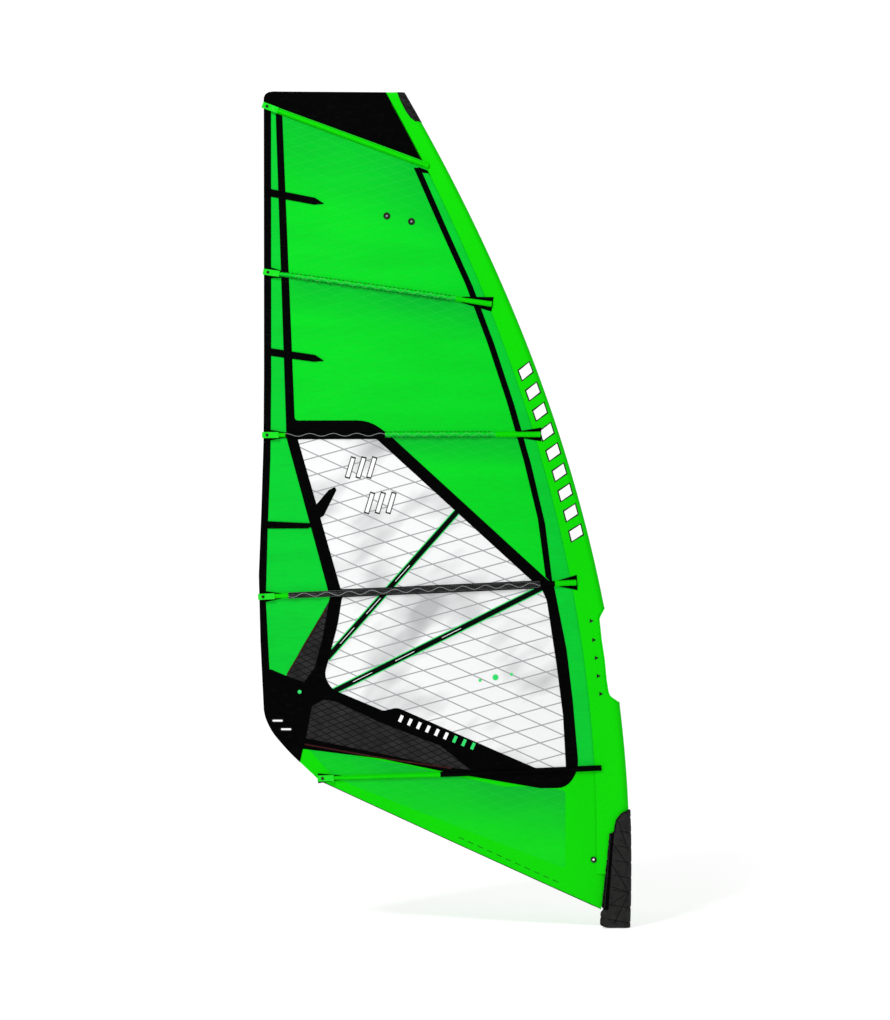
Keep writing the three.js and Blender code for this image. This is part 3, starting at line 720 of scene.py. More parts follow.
def sleeve_cloth():
    f = Finish("sleeve_cloth", 0.55, Specular_IOR_Level=0.05)
    patches = f.ramp(f.noise(2.4, 3.0, (1, 1, 0.4)), 0.35, 0.7)
    grain = f.ramp(f.noise(260, 2.0), 0.3, 0.7, 0.0, 0.35)
    shade = f.math("ADD", f.math("MULTIPLY", patches, 0.35), grain, clamped=True)
    f.colour(f.blend(shade, LIME, LIME_DEEP)).rough(f.ramp(patches, 0, 1, 0.5, 0.62))
    f.bump(f.noise(9, 3.0, (1, 1, 2.6)), 0.004, 0.5)
    return f.bump(f.weave(0.0011), 0.0001, 0.35).material


def panel_cloth(name="panel_cloth", light=PANEL, deep=PANEL_DEEP, line=PANEL_LINE, shades=()):
    f = Finish(name, 0.42, Specular_IOR_Level=0.08)
    streaks = f.ramp(f.noise(3.2, 4.0, (0.45, 1, 2.4)), 0.4, 0.75)
    fine = f.ramp(f.noise(42, 3.0, (0.5, 1, 2.0)), 0.45, 0.75, 0.0, 0.3)
    shade = f.math("ADD", f.math("MULTIPLY", streaks, 0.55), fine, clamped=True)
    scrim = f.math("MAXIMUM", f.lines(SCRIM_UP, 0.040, 0.0008), f.lines(SCRIM_DOWN, 0.040, 0.0008))
    base = f.blend(shade, light, deep)
    # Painted shade: darker green just below each line in shades, fading out over its reach in uneven patches,
    # with the scrim lines showing more strongly in it.
    dark = 0.0
    for start, end, reach in shades:
        dark = f.math("MAXIMUM", dark, f.under(start, end, reach))
    uneven = f.ramp(f.noise(2.1, 3.0, (0.8, 1, 1.0)), 0.3, 0.7, 0.45, 1.0)
    dark = f.math("MULTIPLY", dark, uneven)
    base = f.blend(f.math("MULTIPLY", dark, 0.8), base, PANEL_SHADE)
    strength = f.math("ADD", f.math("MULTIPLY", dark, 0.45), 0.12)
    f.colour(f.blend(f.math("MULTIPLY", scrim, strength), base, line))
    f.rough(f.ramp(fine, 0, 0.3, 0.34, 0.5))
    f.bump(f.noise(16, 4.0, (0.6, 1, 1.8)), 0.003, 0.45)
    f.bump(f.weave(0.0016), 0.00008, 0.3)
    return f.bump(scrim, 0.00025, 0.6).material


def black_cloth():
    f = Finish("black_cloth", 0.6, Specular_IOR_Level=0.02)
    dust = f.ramp(f.noise(34, 5.0, (0.7, 1, 1.6)), 0.52, 0.8, 0.0, 0.8)
    f.colour(f.blend(dust, BLACK, BLACK_WORN)).rough(f.ramp(dust, 0, 1, 0.55, 0.7))
    f.bump(f.noise(22, 3.0), 0.0012, 0.4)
    return f.bump(f.weave(0.0012), 0.0001, 0.5).material


def webbing():
    f = Finish("webbing", 0.65, Specular_IOR_Level=0.04)
    ribs = f.math("MAXIMUM", f.waves((0.6, 0, 0.8), 0.0022), f.waves((0.8, 0, -0.6), 0.0022))
    f.colour(f.blend(f.ramp(ribs, 0.2, 1.0, 0.0, 0.7), BLACK, BLACK_WORN))
    return f.bump(ribs, 0.0003, 0.8).material


def grid_film():
    f = Finish("grid_film", 0.36, Specular_IOR_Level=0.1)
    up = f.lines((-0.34, 0, 0.94), 0.027, 0.0035)
    down = f.lines((0.52, 0, 0.854), 0.027, 0.0035)
    scrim = f.math("MAXIMUM", up, down)
    mottled = f.blend(f.ramp(f.noise(18, 4.0), 0.35, 0.75), FILM, darker(FILM, 0.4))
    f.colour(f.blend(scrim, mottled, FILM_LINE)).rough(f.ramp(scrim, 0, 1, 0.28, 0.5))
    f.bump(f.noise(30, 3.0), 0.001, 0.4)
    return f.bump(scrim, 0.0004, 0.8).material


# Painted shadow bands on the window film, each just below a line (batten 4, both struts and one more) and
# fading out over its reach.
WINDOW_SHADES = (
    (*BATTENS[3], 0.055),
    ((-1.337, 1.110), (-0.378, 1.588), 0.050),
    ((-1.365, 1.275), (-0.771, 1.945), 0.040),
    ((-0.890, 2.290), (-0.310, 1.640), 0.085),
)


def window_film():
    f = Finish("window_film", 0.22, Specular_IOR_Level=0.2, Alpha=0.82)
    up = f.lines(SCRIM_UP, 0.078, 0.0036, 0.0018)
    down = f.lines(SCRIM_DOWN, 0.078, 0.0036, 0.0018)
    scrim = f.math("MAXIMUM", up, down)
    # Painted shade: soft grey patches for the shadows of wrinkles in the film, and darker bands below the
    # lines in WINDOW_SHADES.
    painted_window_shade = f.ramp(f.noise(5.0, 2.5, place=f.turned(38, 0.45)), 0.48, 0.70, 0.0, 0.9)
    for start, end, reach in WINDOW_SHADES:
        painted_window_shade = f.math("MAXIMUM", painted_window_shade, f.math("MULTIPLY", f.under(start, end, reach), 0.5))
    film_and_painted_shade = f.blend(painted_window_shade, (0.88, 0.885, 0.89), (0.42, 0.43, 0.44))
    f.colour(f.blend(scrim, film_and_painted_shade, (0.33, 0.34, 0.35))).rough(f.ramp(scrim, 0, 1, 0.14, 0.4))
    f.bump(f.noise(7, 4.0, (0.7, 1, 1.5)), 0.004, 0.35)
    return f.bump(scrim, 0.0003, 0.8).material


def thread(name, colour):
    f = Finish(name, 0.55, Specular_IOR_Level=0.1)
    twist = f.waves((0.7, 0.2, 0.7), 0.0007)
    f.colour(f.blend(twist, colour, darker(colour, 0.6)))
    return f.bump(twist, 0.0001, 0.5).material


def printed(name, colour):
    """A flat print, with faint speckle and wear."""
    f = Finish(name, 0.45, Specular_IOR_Level=0.1)
    wear = f.ramp(f.noise(70, 4.0), 0.55, 0.85, 0.0, 0.45)
    f.colour(f.blend(wear, colour, worn(colour, 0.25, 0.25)))
    return f.bump(f.noise(120, 2.0), 0.0003, 0.3).material


def moulded(name, colour, roughness=0.38):
    f = Finish(name, roughness, Specular_IOR_Level=0.15)
    scuffs = f.ramp(f.noise(90, 5.0, (1, 1, 0.4)), 0.5, 0.8, 0.0, 0.5)
    f.colour(f.blend(scuffs, colour, worn(colour, 0.3, 0.2)))
    f.rough(f.ramp(scuffs, 0, 0.5, roughness, roughness + 0.2))
    return f.bump(f.noise(900, 2.0), 0.0002, 0.4).material


def metal(name, colour, roughness):
    f = Finish(name, roughness, Metallic=1.0)
    brushed = f.noise(140, 3.0, (0.2, 1, 2.5))
    f.colour(f.blend(brushed, colour, darker(colour, 0.72)))
    f.rough(f.ramp(brushed, 0.2, 0.8, roughness - 0.07, roughness + 0.12))
    return f.bump(brushed, 0.0001, 0.4).material


def pad_cloth():
    f = Finish("pad_cloth", 0.62, Specular_IOR_Level=0.08)
    knit = f.math("MAXIMUM", f.waves((1, 1, 0), 0.0016), f.waves((0.2, 0.2, 1), 0.0013))
    patches = f.ramp(f.noise(26, 4.0), 0.35, 0.75)
    f.colour(f.blend(patches, (0.020, 0.019, 0.019), (0.009, 0.0087, 0.0087)))
    return f.bump(knit, 0.00025, 0.6).material


def rod_glass():
    f = Finish("batten_rod", 0.3)
    fibres = f.noise(300, 3.0, (0.05, 1, 1))
    f.colour(f.blend(fibres, (0.62, 0.58, 0.45), (0.42, 0.40, 0.30)))
    return f.bump(fibres, 0.0001, 0.4).material


SLEEVE = sleeve_cloth()
# The green panels get painted shade below battens 1, 2 and 3.
GREEN = panel_cloth(shades=[(*BATTENS[0], 0.34), (*BATTENS[1], 0.20), (*BATTENS[2], 0.16)])
TEAL = panel_cloth("teal_cloth", (0.0, 0.56, 0.026), (0.0, 0.44, 0.024), (0.01, 0.62, 0.06))
# Painted shade below the lower edge of the foot strip, fading out over 0.26 m.
FOOT_SHADE = ((-1.475, 0.845), (-0.266, 0.640), 0.26)
FOOT_GREEN = panel_cloth(
    "foot_cloth", (0.001, 0.63, 0.006), (0.0, 0.54, 0.008), (0.02, 0.70, 0.06), [FOOT_SHADE]
)
BLACK_CLOTH = black_cloth()
WEBBING = webbing()
GRID = grid_film()
WINDOW = window_film()
PALE_THREAD = thread("pale_thread", (0.10, 0.72, 0.16))
GREY_THREAD = thread("grey_thread", (0.34, 0.35, 0.36))
DARK_THREAD = thread("dark_thread", (0.006, 0.05, 0.006))
LIME_THREAD = thread("lime_thread", (0.002, 0.50, 0.002))
BLACK_THREAD = thread("black_thread", (0.001, 0.001, 0.001))
DARK_GREY = thread("dark_grey_thread", (0.03, 0.03, 0.03))
RED_EDGE = printed("red_edge", (0.030, 0.003, 0.003))
WHITE_PRINT = printed("white_print", (0.88, 0.88, 0.88))
HALO = printed("halo_green", (0.03, 0.66, 0.14))
TRIM_HIGHLIGHT_GREY = printed("trim_highlight_grey", (0.22, 0.22, 0.22))
BLACK_TRIM = moulded("black_trim", (0.004, 0.004, 0.004), 0.45)
PAD = pad_cloth()
CAP = moulded("cap_plastic", (0.004, 0.66, 0.010))
NYLON = moulded("cup_nylon", (0.68, 0.68, 0.64), 0.42)
STEEL = metal("steel", (0.62, 0.63, 0.64), 0.3)
DARK_METAL = metal("eyelet_metal", (0.02, 0.02, 0.022), 0.4)
ROD = rod_glass()


# ---------------------------------------------------------------- panels
def sail_panel(node, material, lift=-CLOTH / 2, thick=CLOTH, widen=0.0015, step=STEP):
    loops = [grow(points, widen) for points in node_outline(node)]
    piece = skin(node + "_cloth", loops, on_sail, material, lift, thick, step)
    finish_piece(piece, [node])
    declare_sheet(loops)
    return piece


def foot_inner():
    """The scrim cloth that fills the middle of the foot panel, darkened below its top edge by painted shade.
    """
    loop = rounded(
        [
            (-1.475, 0.845),
            (-1.345, 0.700),
            (-0.266, 0.278),
            (-0.266, 0.640, 0.020),
            (-0.330, 0.662),
            (-0.550, 0.662),
            (-1.000, 0.760),
        ]
    )
    piece = skin("foot_inner_cloth", [loop], on_sail, FOOT_GREEN, ON_CLOTH, 0.0003)
    finish_piece(piece)


def tack_cloth():
    """The green cloth below the sleeve's foot, which runs into the fairing round the tack plate."""
    loop = rounded(
        [
            (-0.129, foot_z(-0.129)),
            (-0.098, foot_z(-0.098)),
            (-0.094, 0.118),
            (-0.082, 0.204, 0.008),
            (-0.036, 0.220),
            (-0.036, 0.244),
            (-0.100, 0.257),
            (-0.123, 0.257),
        ]
    )
    piece = skin("tack_plate_cloth", [loop], on_sail, SLEEVE, ON_CLOTH, PATCH, 0.01)
    finish_piece(piece, ["tack_plate"])
    declare_sheet([loop])


def foot_z(x):
    return FOOT_Z + FOOT_RISE * x


def sewn_line(name, points, material, lift):
    """A zigzag seam along a line on the sail."""
    fine = resample([Vector(p) for p in points], SEAM_PERIOD / 2, closed=False)
    line = []
    for i, p in enumerate(fine):
        ahead = fine[min(i + 1, len(fine) - 1)] - fine[max(i - 1, 0)]
        side = Vector((-ahead.y, ahead.x)).normalized() * SEAM_SWING * (1 if i % 2 else -1)
        line.append(on_sail(*(p + side), lift))
    return finish_piece(tube(name, line, SEAM_THREAD, material, sides=5))


def foot_edge():
    """The binding along the foot, and a row of dashes above it."""
    ends = [Vector((x, foot_z(x))) for x in (-1.405, -0.098)]
    line = [on_sail(*p, ON_CLOTH) for p in resample(ends, 0.01, closed=False)]
    finish_piece(tube("foot_binding", line, 0.0016, BLACK_TRIM))
    for k in range(11):
        x = -0.765 + 0.044 * k
        a, b = ((p, foot_z(p) + 0.034) for p in (x, x + 0.026))
        strap("foot_dash_%d" % (k + 1), a, b, 0.0013, DARK_THREAD, "webbing", 0.0005)


def edges_and_seams():
    foot_edge()
    gusset = (-1.565, 1.185), (-1.385, 1.490)
    strap("gusset_edge", *gusset, 0.0032, RED_EDGE, "webbing", 0.0004, thick=0.0006)
    bend = (-1.133, 0.796)
    for word, a, b in (("back", (-1.485, 0.857), bend), ("front", bend, (-0.800, 0.748))):
        strap("strip_edge_" + word, a, b, 0.0036, RED_EDGE, "webbing", 0.0013)
    corners = [(-0.955, 3.556), (-0.945, 3.530), (-0.905, 3.525), (-0.857, 3.452), (-0.885, 3.530)]
    loop = [Vector(p) for p in corners]
    piece = skin("luff_head_wedge", [loop], on_sail, BLACK_CLOTH, 0.0004, 0.0010, 0.01)
    finish_piece(piece)
    heights = [0.30 + 0.05 * k for k in range(72)]
    tail = [(seam_x(z) - 0.0075, z) for z in heights]
    leech = [(leech_x(z) + 0.026, z) for z in heights[18:]]
    sewn_line("tail_seam", tail, LIME_THREAD, 0.0007)
    sewn_line("leech_seam", leech, BLACK_THREAD, 0.0016)


def panels():
    for node in ("top_panel", "upper_panel", "mid_panel"):
        sail_panel(node, GREEN)
    for node in ("leech_panel", "luff_panel"):
        sail_panel(node, TEAL)
    sail_panel("foot_panel", SLEEVE)
    foot_inner()
    sail_panel("head_panel", BLACK_CLOTH)
    sail_panel("window_upper", WINDOW)
    sail_panel("window_lower", WINDOW)
    sail_panel("clew_gusset", GRID)
    sail_panel("foot_strip", GRID)
    sail_panel("clew_patch", BLACK_CLOTH, ON_CLOTH, PATCH, 0.002, 0.012)
    for node in ("leech_tape", "luff_stripe", "window_frame"):
        sail_panel(node, BLACK_CLOTH, ON_CLOTH, PATCH, 0.002)
    tack_cloth()


# ---------------------------------------------------------------- mast sleeve
CUT_OUT = rounded(
    [
        (0.120, 1.5977),
        (-0.040, 1.575),
        (-0.109, 1.447, 0.045),
        (-0.098, 1.345),
        (-0.084, 1.252),
        (-0.075, 1.158),
        (-0.063, 1.083, 0.055),
        (-0.016, 1.052),
        (0.120, 0.966),
    ],
    closed=False,
)


def sleeve_point(share, z, side, lift=0.0):
    """A point on the sleeve: share runs from the tail seam at 0 round to the nose at 1."""
    lean = mast_lean(z)
    pucker = 0.0009 * noise.noise(Vector((share * 4.0, z * 14.0, 5.0 * side))) * (1 - share)
    radius = sleeve_radius(z) + lift + pucker
    tail_x = (seam_x(z) - TAIL_LAP - mast_x(z)) / lean
    tail_y = sail_y(seam_x(z), z) + side * (TAIL_HALF + lift)
    reach = math.hypot(tail_x, tail_y)
    aim = math.atan2(tail_y, tail_x) % (2 * math.pi)
    opening = math.acos(radius / reach)
    start = aim - side * opening
    straight = math.sqrt(reach * reach - radius * radius)
    bend = 2 * math.pi - start if side < 0 else start
    along = share * (straight + radius * bend)
    if along <= straight:
        t = along / straight
        px = mix(tail_x, radius * math.cos(start), t)
        py = mix(tail_y, radius * math.sin(start), t)
    else:
        angle = start - side * (along - straight) / radius
        px, py = radius * math.cos(angle), radius * math.sin(angle)
    return Vector((mast_x(z) + px * lean, py, z))


def sleeve_share(x, z, side):
    """Where on the sleeve's section a given X lies."""
    low, high = 0.0, 1.0
    for _ in range(26):
        middle = (low + high) / 2
        if sleeve_point(middle, z, side).x < x:
            low = middle
        else:
            high = middle
    return (low + high) / 2


def nose_x(z):
    return sleeve_point(1.0, z, -1).x


def plan(points, side, step=0.006):
    """A line drawn in side view as a line in the sleeve's flat plan."""
    fine = resample([Vector(p[:2]) for p in points], step, closed=False)
    kept = [p for p in fine if p.x <= nose_x(p.y) + 1e-4]
    return [Vector((sleeve_share(p.x, p.y, side) * HALF_GIRTH, p.y)) for p in kept]


def on_sleeve(side):
    return lambda u, v, lift: sleeve_point(clamp(u / HALF_GIRTH), v, side, lift)


def cut_edge(side):
    """The cut-out's edge in the flat plan, from the nose above it to the nose below it."""
    edge = plan(CUT_OUT, side, 0.004)
    edge[0].x = edge[-1].x = HALF_GIRTH
    return edge


def sleeve():
    verts, faces = [], []
    for side in (-1, 1):
        edge = cut_edge(side)
        outline = [Vector((0, HEIGHT)), Vector((0, SLEEVE_FOOT_Z)), Vector((HALF_GIRTH, SLEEVE_FOOT_Z))]
        outline += edge[::-1] + [Vector((HALF_GIRTH, HEIGHT))]
        flat, triangles = triangulated([outline], 0.012)
        first = len(verts)
        verts += [sleeve_point(clamp(p.x / HALF_GIRTH), p.y, side) for p in flat]
        turned = [t if side < 0 else t[::-1] for t in triangles]
        faces += [tuple(first + i for i in t) for t in turned]
    piece = new_object("mast_sleeve", verts, faces, SLEEVE)
    weld(piece, 0.0004)
    wall = piece.modifiers.new("wall", "SOLIDIFY")
    wall.thickness = SLEEVE_WALL
    wall.offset = -1
    finish_piece(piece, ["sleeve_upper", "sleeve_lower"])
    lip = [sleeve_point(p.x / HALF_GIRTH, p.y, -1) for p in cut_edge(-1)]
    lip += [sleeve_point(p.x / HALF_GIRTH, p.y, 1) for p in cut_edge(1)[::-1]][1:-1]
    hem = tube("cut_out_hem", lip, 0.0026, SLEEVE, closed=True)
    finish_piece(hem)


def anticlockwise(loop):
    return loop if signed_area(loop) > 0 else loop[::-1]


def sleeve_patch(name, outline, material, lift):
    """A flat print on the near face of the sleeve, its outline drawn in side view."""
    loop = [
        Vector((sleeve_share(min(p.x, nose_x(p.y)), p.y, -1) * HALF_GIRTH, p.y))
        for p in resample([Vector(p) for p in outline], 0.008)
    ]
    piece = skin(name, [anticlockwise(loop)], on_sleeve(-1), material, lift, 0.0004, 0.008)
    return finish_piece(piece)


HEAD_EDGE_Z = 3.9035
HEAD_PATCH_EDGE = [(-1.051, HEAD_EDGE_Z), (-1.037, 3.867), (-1.013, 3.820), (-0.990, 3.787), (-0.962, 3.765)]


def head_patch():
    for side, word in ((-1, "front"), (1, "back")):
        edge = plan(HEAD_PATCH_EDGE, side)
        edge[-1].x = HALF_GIRTH
        loops = [anticlockwise(edge + [Vector((HALF_GIRTH, HEAD_EDGE_Z))])]
        name = "head_patch_" + word
        piece = skin(name, loops, on_sleeve(side), GRID, 0.0004, 0.0012, 0.008, flip=side > 0)
        finish_piece(piece, ["head_patch"] if side < 0 else ())
        line = [sleeve_point(p.x / HALF_GIRTH, p.y, side, 0.0012) for p in edge]
        trim = tube("head_patch_trim_" + word, line, 0.0022, BLACK_TRIM)
        finish_piece(trim)


# ---------------------------------------------------------------- battens
def batten_place(index, distance, across=0.0):
    """A point of a batten's line in X and Z, so far from the leech end and to the side."""
    (x0, z0), (x1, z1) = BATTENS[index]
    way = Vector((x1 - x0, z1 - z0)).normalized()
    up = Vector((-way.y, way.x))
    return Vector((x0, z0)) + way * distance + up * across


def under_pocket_y(p):
    """The cloth that a pocket is sewn to: the sail, and the sleeve in front of its seam."""
    if p.x < seam_x(p.y) - 0.002:
        return cloth_y(p.x, p.y) - 0.0013
    return sleeve_face_y(p.x, p.y, -1) - 0.0004


def pocket_top(index, distance, across, half, lift=0.0004, wobble=1.0):
    """A point on a pocket's outer face; half is the pocket's half width there."""
    p = batten_place(index, distance, across)
    ground = under_pocket_y(p)
    top = batten_y(index, p.x) - POCKET_RISE * wobble
    inner = clamp(abs(across) / half)
    arch = (1 - inner**2.4) ** 0.62 if inner < 1 else 0.0
    return Vector((p.x, mix(ground, min(top, ground), arch) - POCKET_CLOTH - lift, p.y))


def pocket_strip(name, index, start, end, half, material, slot, nodes=()):
    """A batten pocket between two distances along its batten. half is (at start, at end)."""
    columns = max(2, math.ceil((end - start) / 0.010))
    rows = 12
    top = []
    for i in range(columns + 1):
        width = mix(half[0], half[1], i / columns)
        distance = mix(start, end, i / columns)
        wobble = 1 + 0.05 * noise.noise(Vector((distance * 22.0, index * 7.0, 1.5)))
        for k in range(rows + 1):
            across = (-1 + 2 * k / rows) * (width + POCKET_FLANGE)
            top.append(pocket_top(index, distance, across, width, 0.0, wobble))
    under = [Vector((p.x, under_pocket_y(Vector((p.x, p.z))), p.z)) for p in top]
    piece = slab(name, columns, rows, top, under, material, 60)
    return finish_piece(piece, nodes)


def zigzag(name, index, start, end, period, reach, half, material, radius=0.0011):
    """A line of stitching that swings from side to side over a pocket."""
    steps = max(4, math.ceil((end - start) / (period / 12)))
    points = []
    for i in range(steps + 1):
        distance = mix(start, end, i / steps)
        swing = math.cos(2 * math.pi * distance / period)
        points.append(pocket_top(index, distance, reach * swing, half))
    return finish_piece(tube(name, points, radius, material, sides=6))


def edge_stitches(name, index, start, end, across, half, material, pitch=0.012, radius=0.0007):
    lines = []
    for i in range(int((end - start) / pitch)):
        a = start + i * pitch
        lines.append([pocket_top(index, a + t * pitch * 0.62, across, half) for t in (0, 0.5, 1)])
    return finish_piece(threads(name, lines, radius, material))


def wedge(name, index, start, end, half_start, half_end):
    """A flared patch under the end of a pocket, lying on the sail and up over the sleeve."""
    columns, rows = 10, 6
    flat = []
    for i in range(columns + 1):
        distance, half = mix(start, end, i / columns), mix(half_start, half_end, i / columns)
        flat += [batten_place(index, distance, half * (-1 + 2 * k / rows)) for k in range(rows + 1)]
    top = [Vector((p.x, under_pocket_y(p) - 0.0011, p.y)) for p in flat]
    under = [Vector((p.x, under_pocket_y(p) + 0.0003, p.y)) for p in flat]
    return finish_piece(slab(name, columns, rows, top, under, BLACK_CLOTH))


# Each pocket's stretches of cloth from the cap to the luff: a word, the X where the stretch ends, the half
# width at both ends, the cloth and its slot. The stretch in POCKET_BODY stands for the CAD pocket.
LUFF_END = None
POCKETS = (
    (("sleeve", LUFF_END, (0.0105, 0.0115), SLEEVE, "green_cloth"),),
    (
        ("sleeve", -0.780, (0.0085, 0.0095), GREEN, "panel_cloth"),
        ("tab", LUFF_END, (0.0085, 0.0125), SLEEVE, "green_cloth"),
    ),
    (
        ("lead", -1.574, (0.0095, 0.0085), SLEEVE, "green_cloth"),
        ("dark", -1.107, (0.0095, 0.0105), BLACK_CLOTH, "webbing"),
        ("green", -0.593, (0.0105, 0.0100), GREEN, "panel_cloth"),
        ("tab", LUFF_END, (0.0095, 0.0125), SLEEVE, "green_cloth"),
    ),
    (
        ("lead", -1.560, (0.0095, 0.0085), SLEEVE, "green_cloth"),
        ("dark", -0.383, (0.0105, 0.0125), GRID, "grid_film"),
        ("neck", -0.315, (0.0095, 0.0090), BLACK_CLOTH, "webbing"),
        ("tab", LUFF_END, (0.0115, 0.0130), SLEEVE, "green_cloth"),
    ),
    (
        ("green", -0.850, (0.0075, 0.0095), SLEEVE, "green_cloth"),
        ("dark", LUFF_END, (0.0090, 0.0098), BLACK_CLOTH, "black_cloth"),
    ),
)
POCKET_BODY = ("sleeve", "sleeve", "dark", "dark", "dark")


def pocket_ends(index):
    """Where each stretch of a pocket starts and ends along its batten, by its word."""
    spans = {}
    start = POCKET_START
    for word, end_x, *_ in POCKETS[index]:
        end = along_x(index, end_x) if end_x else batten_length(index) + POCKET_OVERRUN
        spans[word] = (start, end)
        start = end
    return spans


def stitch_pair(name, index, span, across, half, thread_low, thread_high, *pitch_and_radius):
    """The stitches along both edges of a pocket, so far across from its middle."""
    for word, side, material in (("low", -across, thread_low), ("high", across, thread_high)):
        edge_stitches(name + word, index, *span, side, half, material, *pitch_and_radius)


def pockets():
    spans = [pocket_ends(i) for i in range(len(POCKETS))]
    for i, stretches in enumerate(POCKETS):
        node = "pocket_%d" % (i + 1)
        for word, _, half, material, slot in stretches:
            nodes = [node] if word == POCKET_BODY[i] else ()
            pocket_strip(node + "_" + word, i, *spans[i][word], half, material, slot, nodes)
    first, second, third, fourth, fifth = spans

    start, end = first["sleeve"]
    stitch_pair("stitch_1_", 0, (start, end - 0.02), 0.0125, 0.0115, DARK_THREAD, PALE_THREAD)

    start, end = second["sleeve"]
    zigzag("zigzag_2", 1, along_x(1, -1.527), end, 0.056, 0.0075, 0.0115, PALE_THREAD)
    stitch_pair("stitch_2_", 1, (start, end), 0.0112, 0.0115, DARK_THREAD, DARK_THREAD, 0.020, 0.0012)

    zigzag("zigzag_3_dark", 2, *third["dark"], 0.11, 0.0065, 0.0125, GREY_THREAD)
    zigzag("zigzag_3_green", 2, *third["green"], 0.056, 0.0075, 0.0125, PALE_THREAD)
    stitch_pair("stitch_3_", 2, third["green"], 0.0122, 0.0125, DARK_THREAD, DARK_THREAD, 0.020, 0.0012)

    zigzag("zigzag_4", 3, *fourth["dark"], 0.106, 0.0085, 0.0145, GREY_THREAD, 0.0012)
    stitch_pair("stitch_4_", 3, fourth["dark"], 0.0135, 0.0135, GREY_THREAD, GREY_THREAD)

    edge_stitches("stitch_5_low", 4, *fifth["green"], -0.0105, 0.0105, DARK_THREAD)


def wedges():
    """The black patches under the pockets' ends; inset is from the start of the pocket's luff tab."""
    for i, inset, narrow, wide in ((1, 0.03, 0.014, 0.034), (2, 0.09, 0.012, 0.032), (3, 0.02, 0.015, 0.036)):
        start, end = pocket_ends(i)["tab"]
        wedge("wedge_%d" % (i + 1), i, start + inset, end + 0.004, narrow, wide)
        wedge("leech_wedge_%d" % (i + 1), i, 0.004, 0.105, 0.030, 0.012)
    wedge("leech_wedge_5", 4, -0.002, 0.110, 0.023, 0.010)


# ---------------------------------------------------------------- straps and marks on the cloth
def strap(name, start, end, half, material, slot, lift, nodes=(), thick=PRINT):
    """A straight strap or printed line on the sail between two points in X and Z."""
    a, b = Vector(start), Vector(end)
    way = (b - a).normalized()
    up = Vector((-way.y, way.x)) * half
    piece = skin(name, [[a - up, b - up, b + up, a + up]], on_sail, material, lift, thick, 0.012)
    return finish_piece(piece, nodes)


STRUTS = {
    "strut_upper": ((-0.771, 1.945), (-1.365, 1.275)),
    "strut_lower": ((-0.378, 1.588), (-1.337, 1.110)),
}


def struts():
    for node, (front, back) in STRUTS.items():
        start, end = Vector(back), Vector(front)
        way = (end - start).normalized()
        start, end = start - way * 0.022, end + way * 0.010
        strap(node + "_halo", start, end, 0.0165, HALO, "panel_cloth", ON_CLOTH, thick=0.0004)
        strap(node + "_tape", start, end, 0.0118, WEBBING, "webbing", 0.0004, [node], thick=0.0007)
        for k, share in enumerate((0.10, 0.30, 0.52)):
            a = start + way * ((end - start).length * share)
            name = "%s_dash_%d" % (node, k + 1)
            strap(name, a, a + way * 0.100, 0.0012, WHITE_PRINT, "webbing", 0.0011)


# Each short batten's height at the leech, then its lower shoulder, tip and upper shoulder.
MINI_BATTENS = {
    "mini_batten_1": (3.437, (-1.440, 3.378), (-1.392, 3.382), (-1.435, 3.410)),
    "mini_batten_2": (2.693, (-1.440, 2.644), (-1.392, 2.648), (-1.435, 2.676)),
    "mini_batten_3": (1.882, (-1.470, 1.866), (-1.443, 1.877), (-1.455, 1.890)),
}


def mini_battens():
    for node, (z, below, tip, above) in MINI_BATTENS.items():
        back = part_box(node)[0].x
        loop = rounded([(back, z - 0.017), below, (*tip, 0.002), above, (back, z + 0.019)])
        piece = skin(node + "_patch", [loop], on_sail, BLACK_CLOTH, 0.0012, 0.0022, 0.01)
        finish_piece(piece, [node])


def ring_mark(name, x, z, outer, inner, material, place=on_sail, lift=0.0008, thick=0.0022):
    turn = [2 * math.pi * k / 28 for k in range(28)]
    loops = [[Vector((x + outer * math.cos(a), z + outer * math.sin(a))) for a in turn]]
    if inner:
        loops.append([Vector((x + inner * math.cos(a), z + inner * math.sin(a))) for a in turn[::-1]])
    piece = skin(name, loops, place, material, lift, thick, 0.004)
    return finish_piece(piece)


TRIM_RINGS = ((-1.100, 3.325), (-0.985, 3.299))
WINDOW_DOTS = ((-0.593, 1.172, 0.014), (-0.665, 1.158, 0.007), (-0.518, 1.186, 0.007))
BOOM_MARKS = ((-0.131, 1.434), (-0.119, 1.345), (-0.107, 1.261), (-0.098, 1.177), (-0.086, 1.093))
WINDOW_WEDGE = [
    (-1.429, 1.905),
    (-1.395, 1.925),
    (-1.335, 2.045, 0.006),
    (-1.342, 2.060, 0.006),
    (-1.372, 2.045),
    (-1.440, 1.965),
]


def marks():
    for k, (x, z) in enumerate(TRIM_RINGS):
        ring_mark("trim_ring_%d" % (k + 1), x, z, 0.016, 0.006, BLACK_TRIM)
        # A grey dot in the middle of each black trim ring: a painted highlight.
        ring_mark("trim_dot_%d" % (k + 1), x, z, 0.0052, 0.0, TRIM_HIGHLIGHT_GREY)
    for k, (x, z, radius) in enumerate(WINDOW_DOTS):
        ring_mark("window_dot_%d" % (k + 1), x, z, radius, 0.0, HALO, thick=0.0006)
    ring_mark("clew_dot", -1.508, 1.102, 0.009, 0.0, HALO, lift=0.0014, thick=0.0006)
    piece = skin("window_wedge", [rounded(WINDOW_WEDGE)], on_sail, BLACK_CLOTH, 0.0006, 0.0008, 0.01)
    finish_piece(piece)
    for k, (x, z) in enumerate(BOOM_MARKS):
        corners = [(x - 0.022, z + 0.010), (x - 0.022, z - 0.010), (x - 0.003, z)]
        sleeve_patch("boom_mark_%d" % (k + 1), corners, BLACK_TRIM, 0.0002)


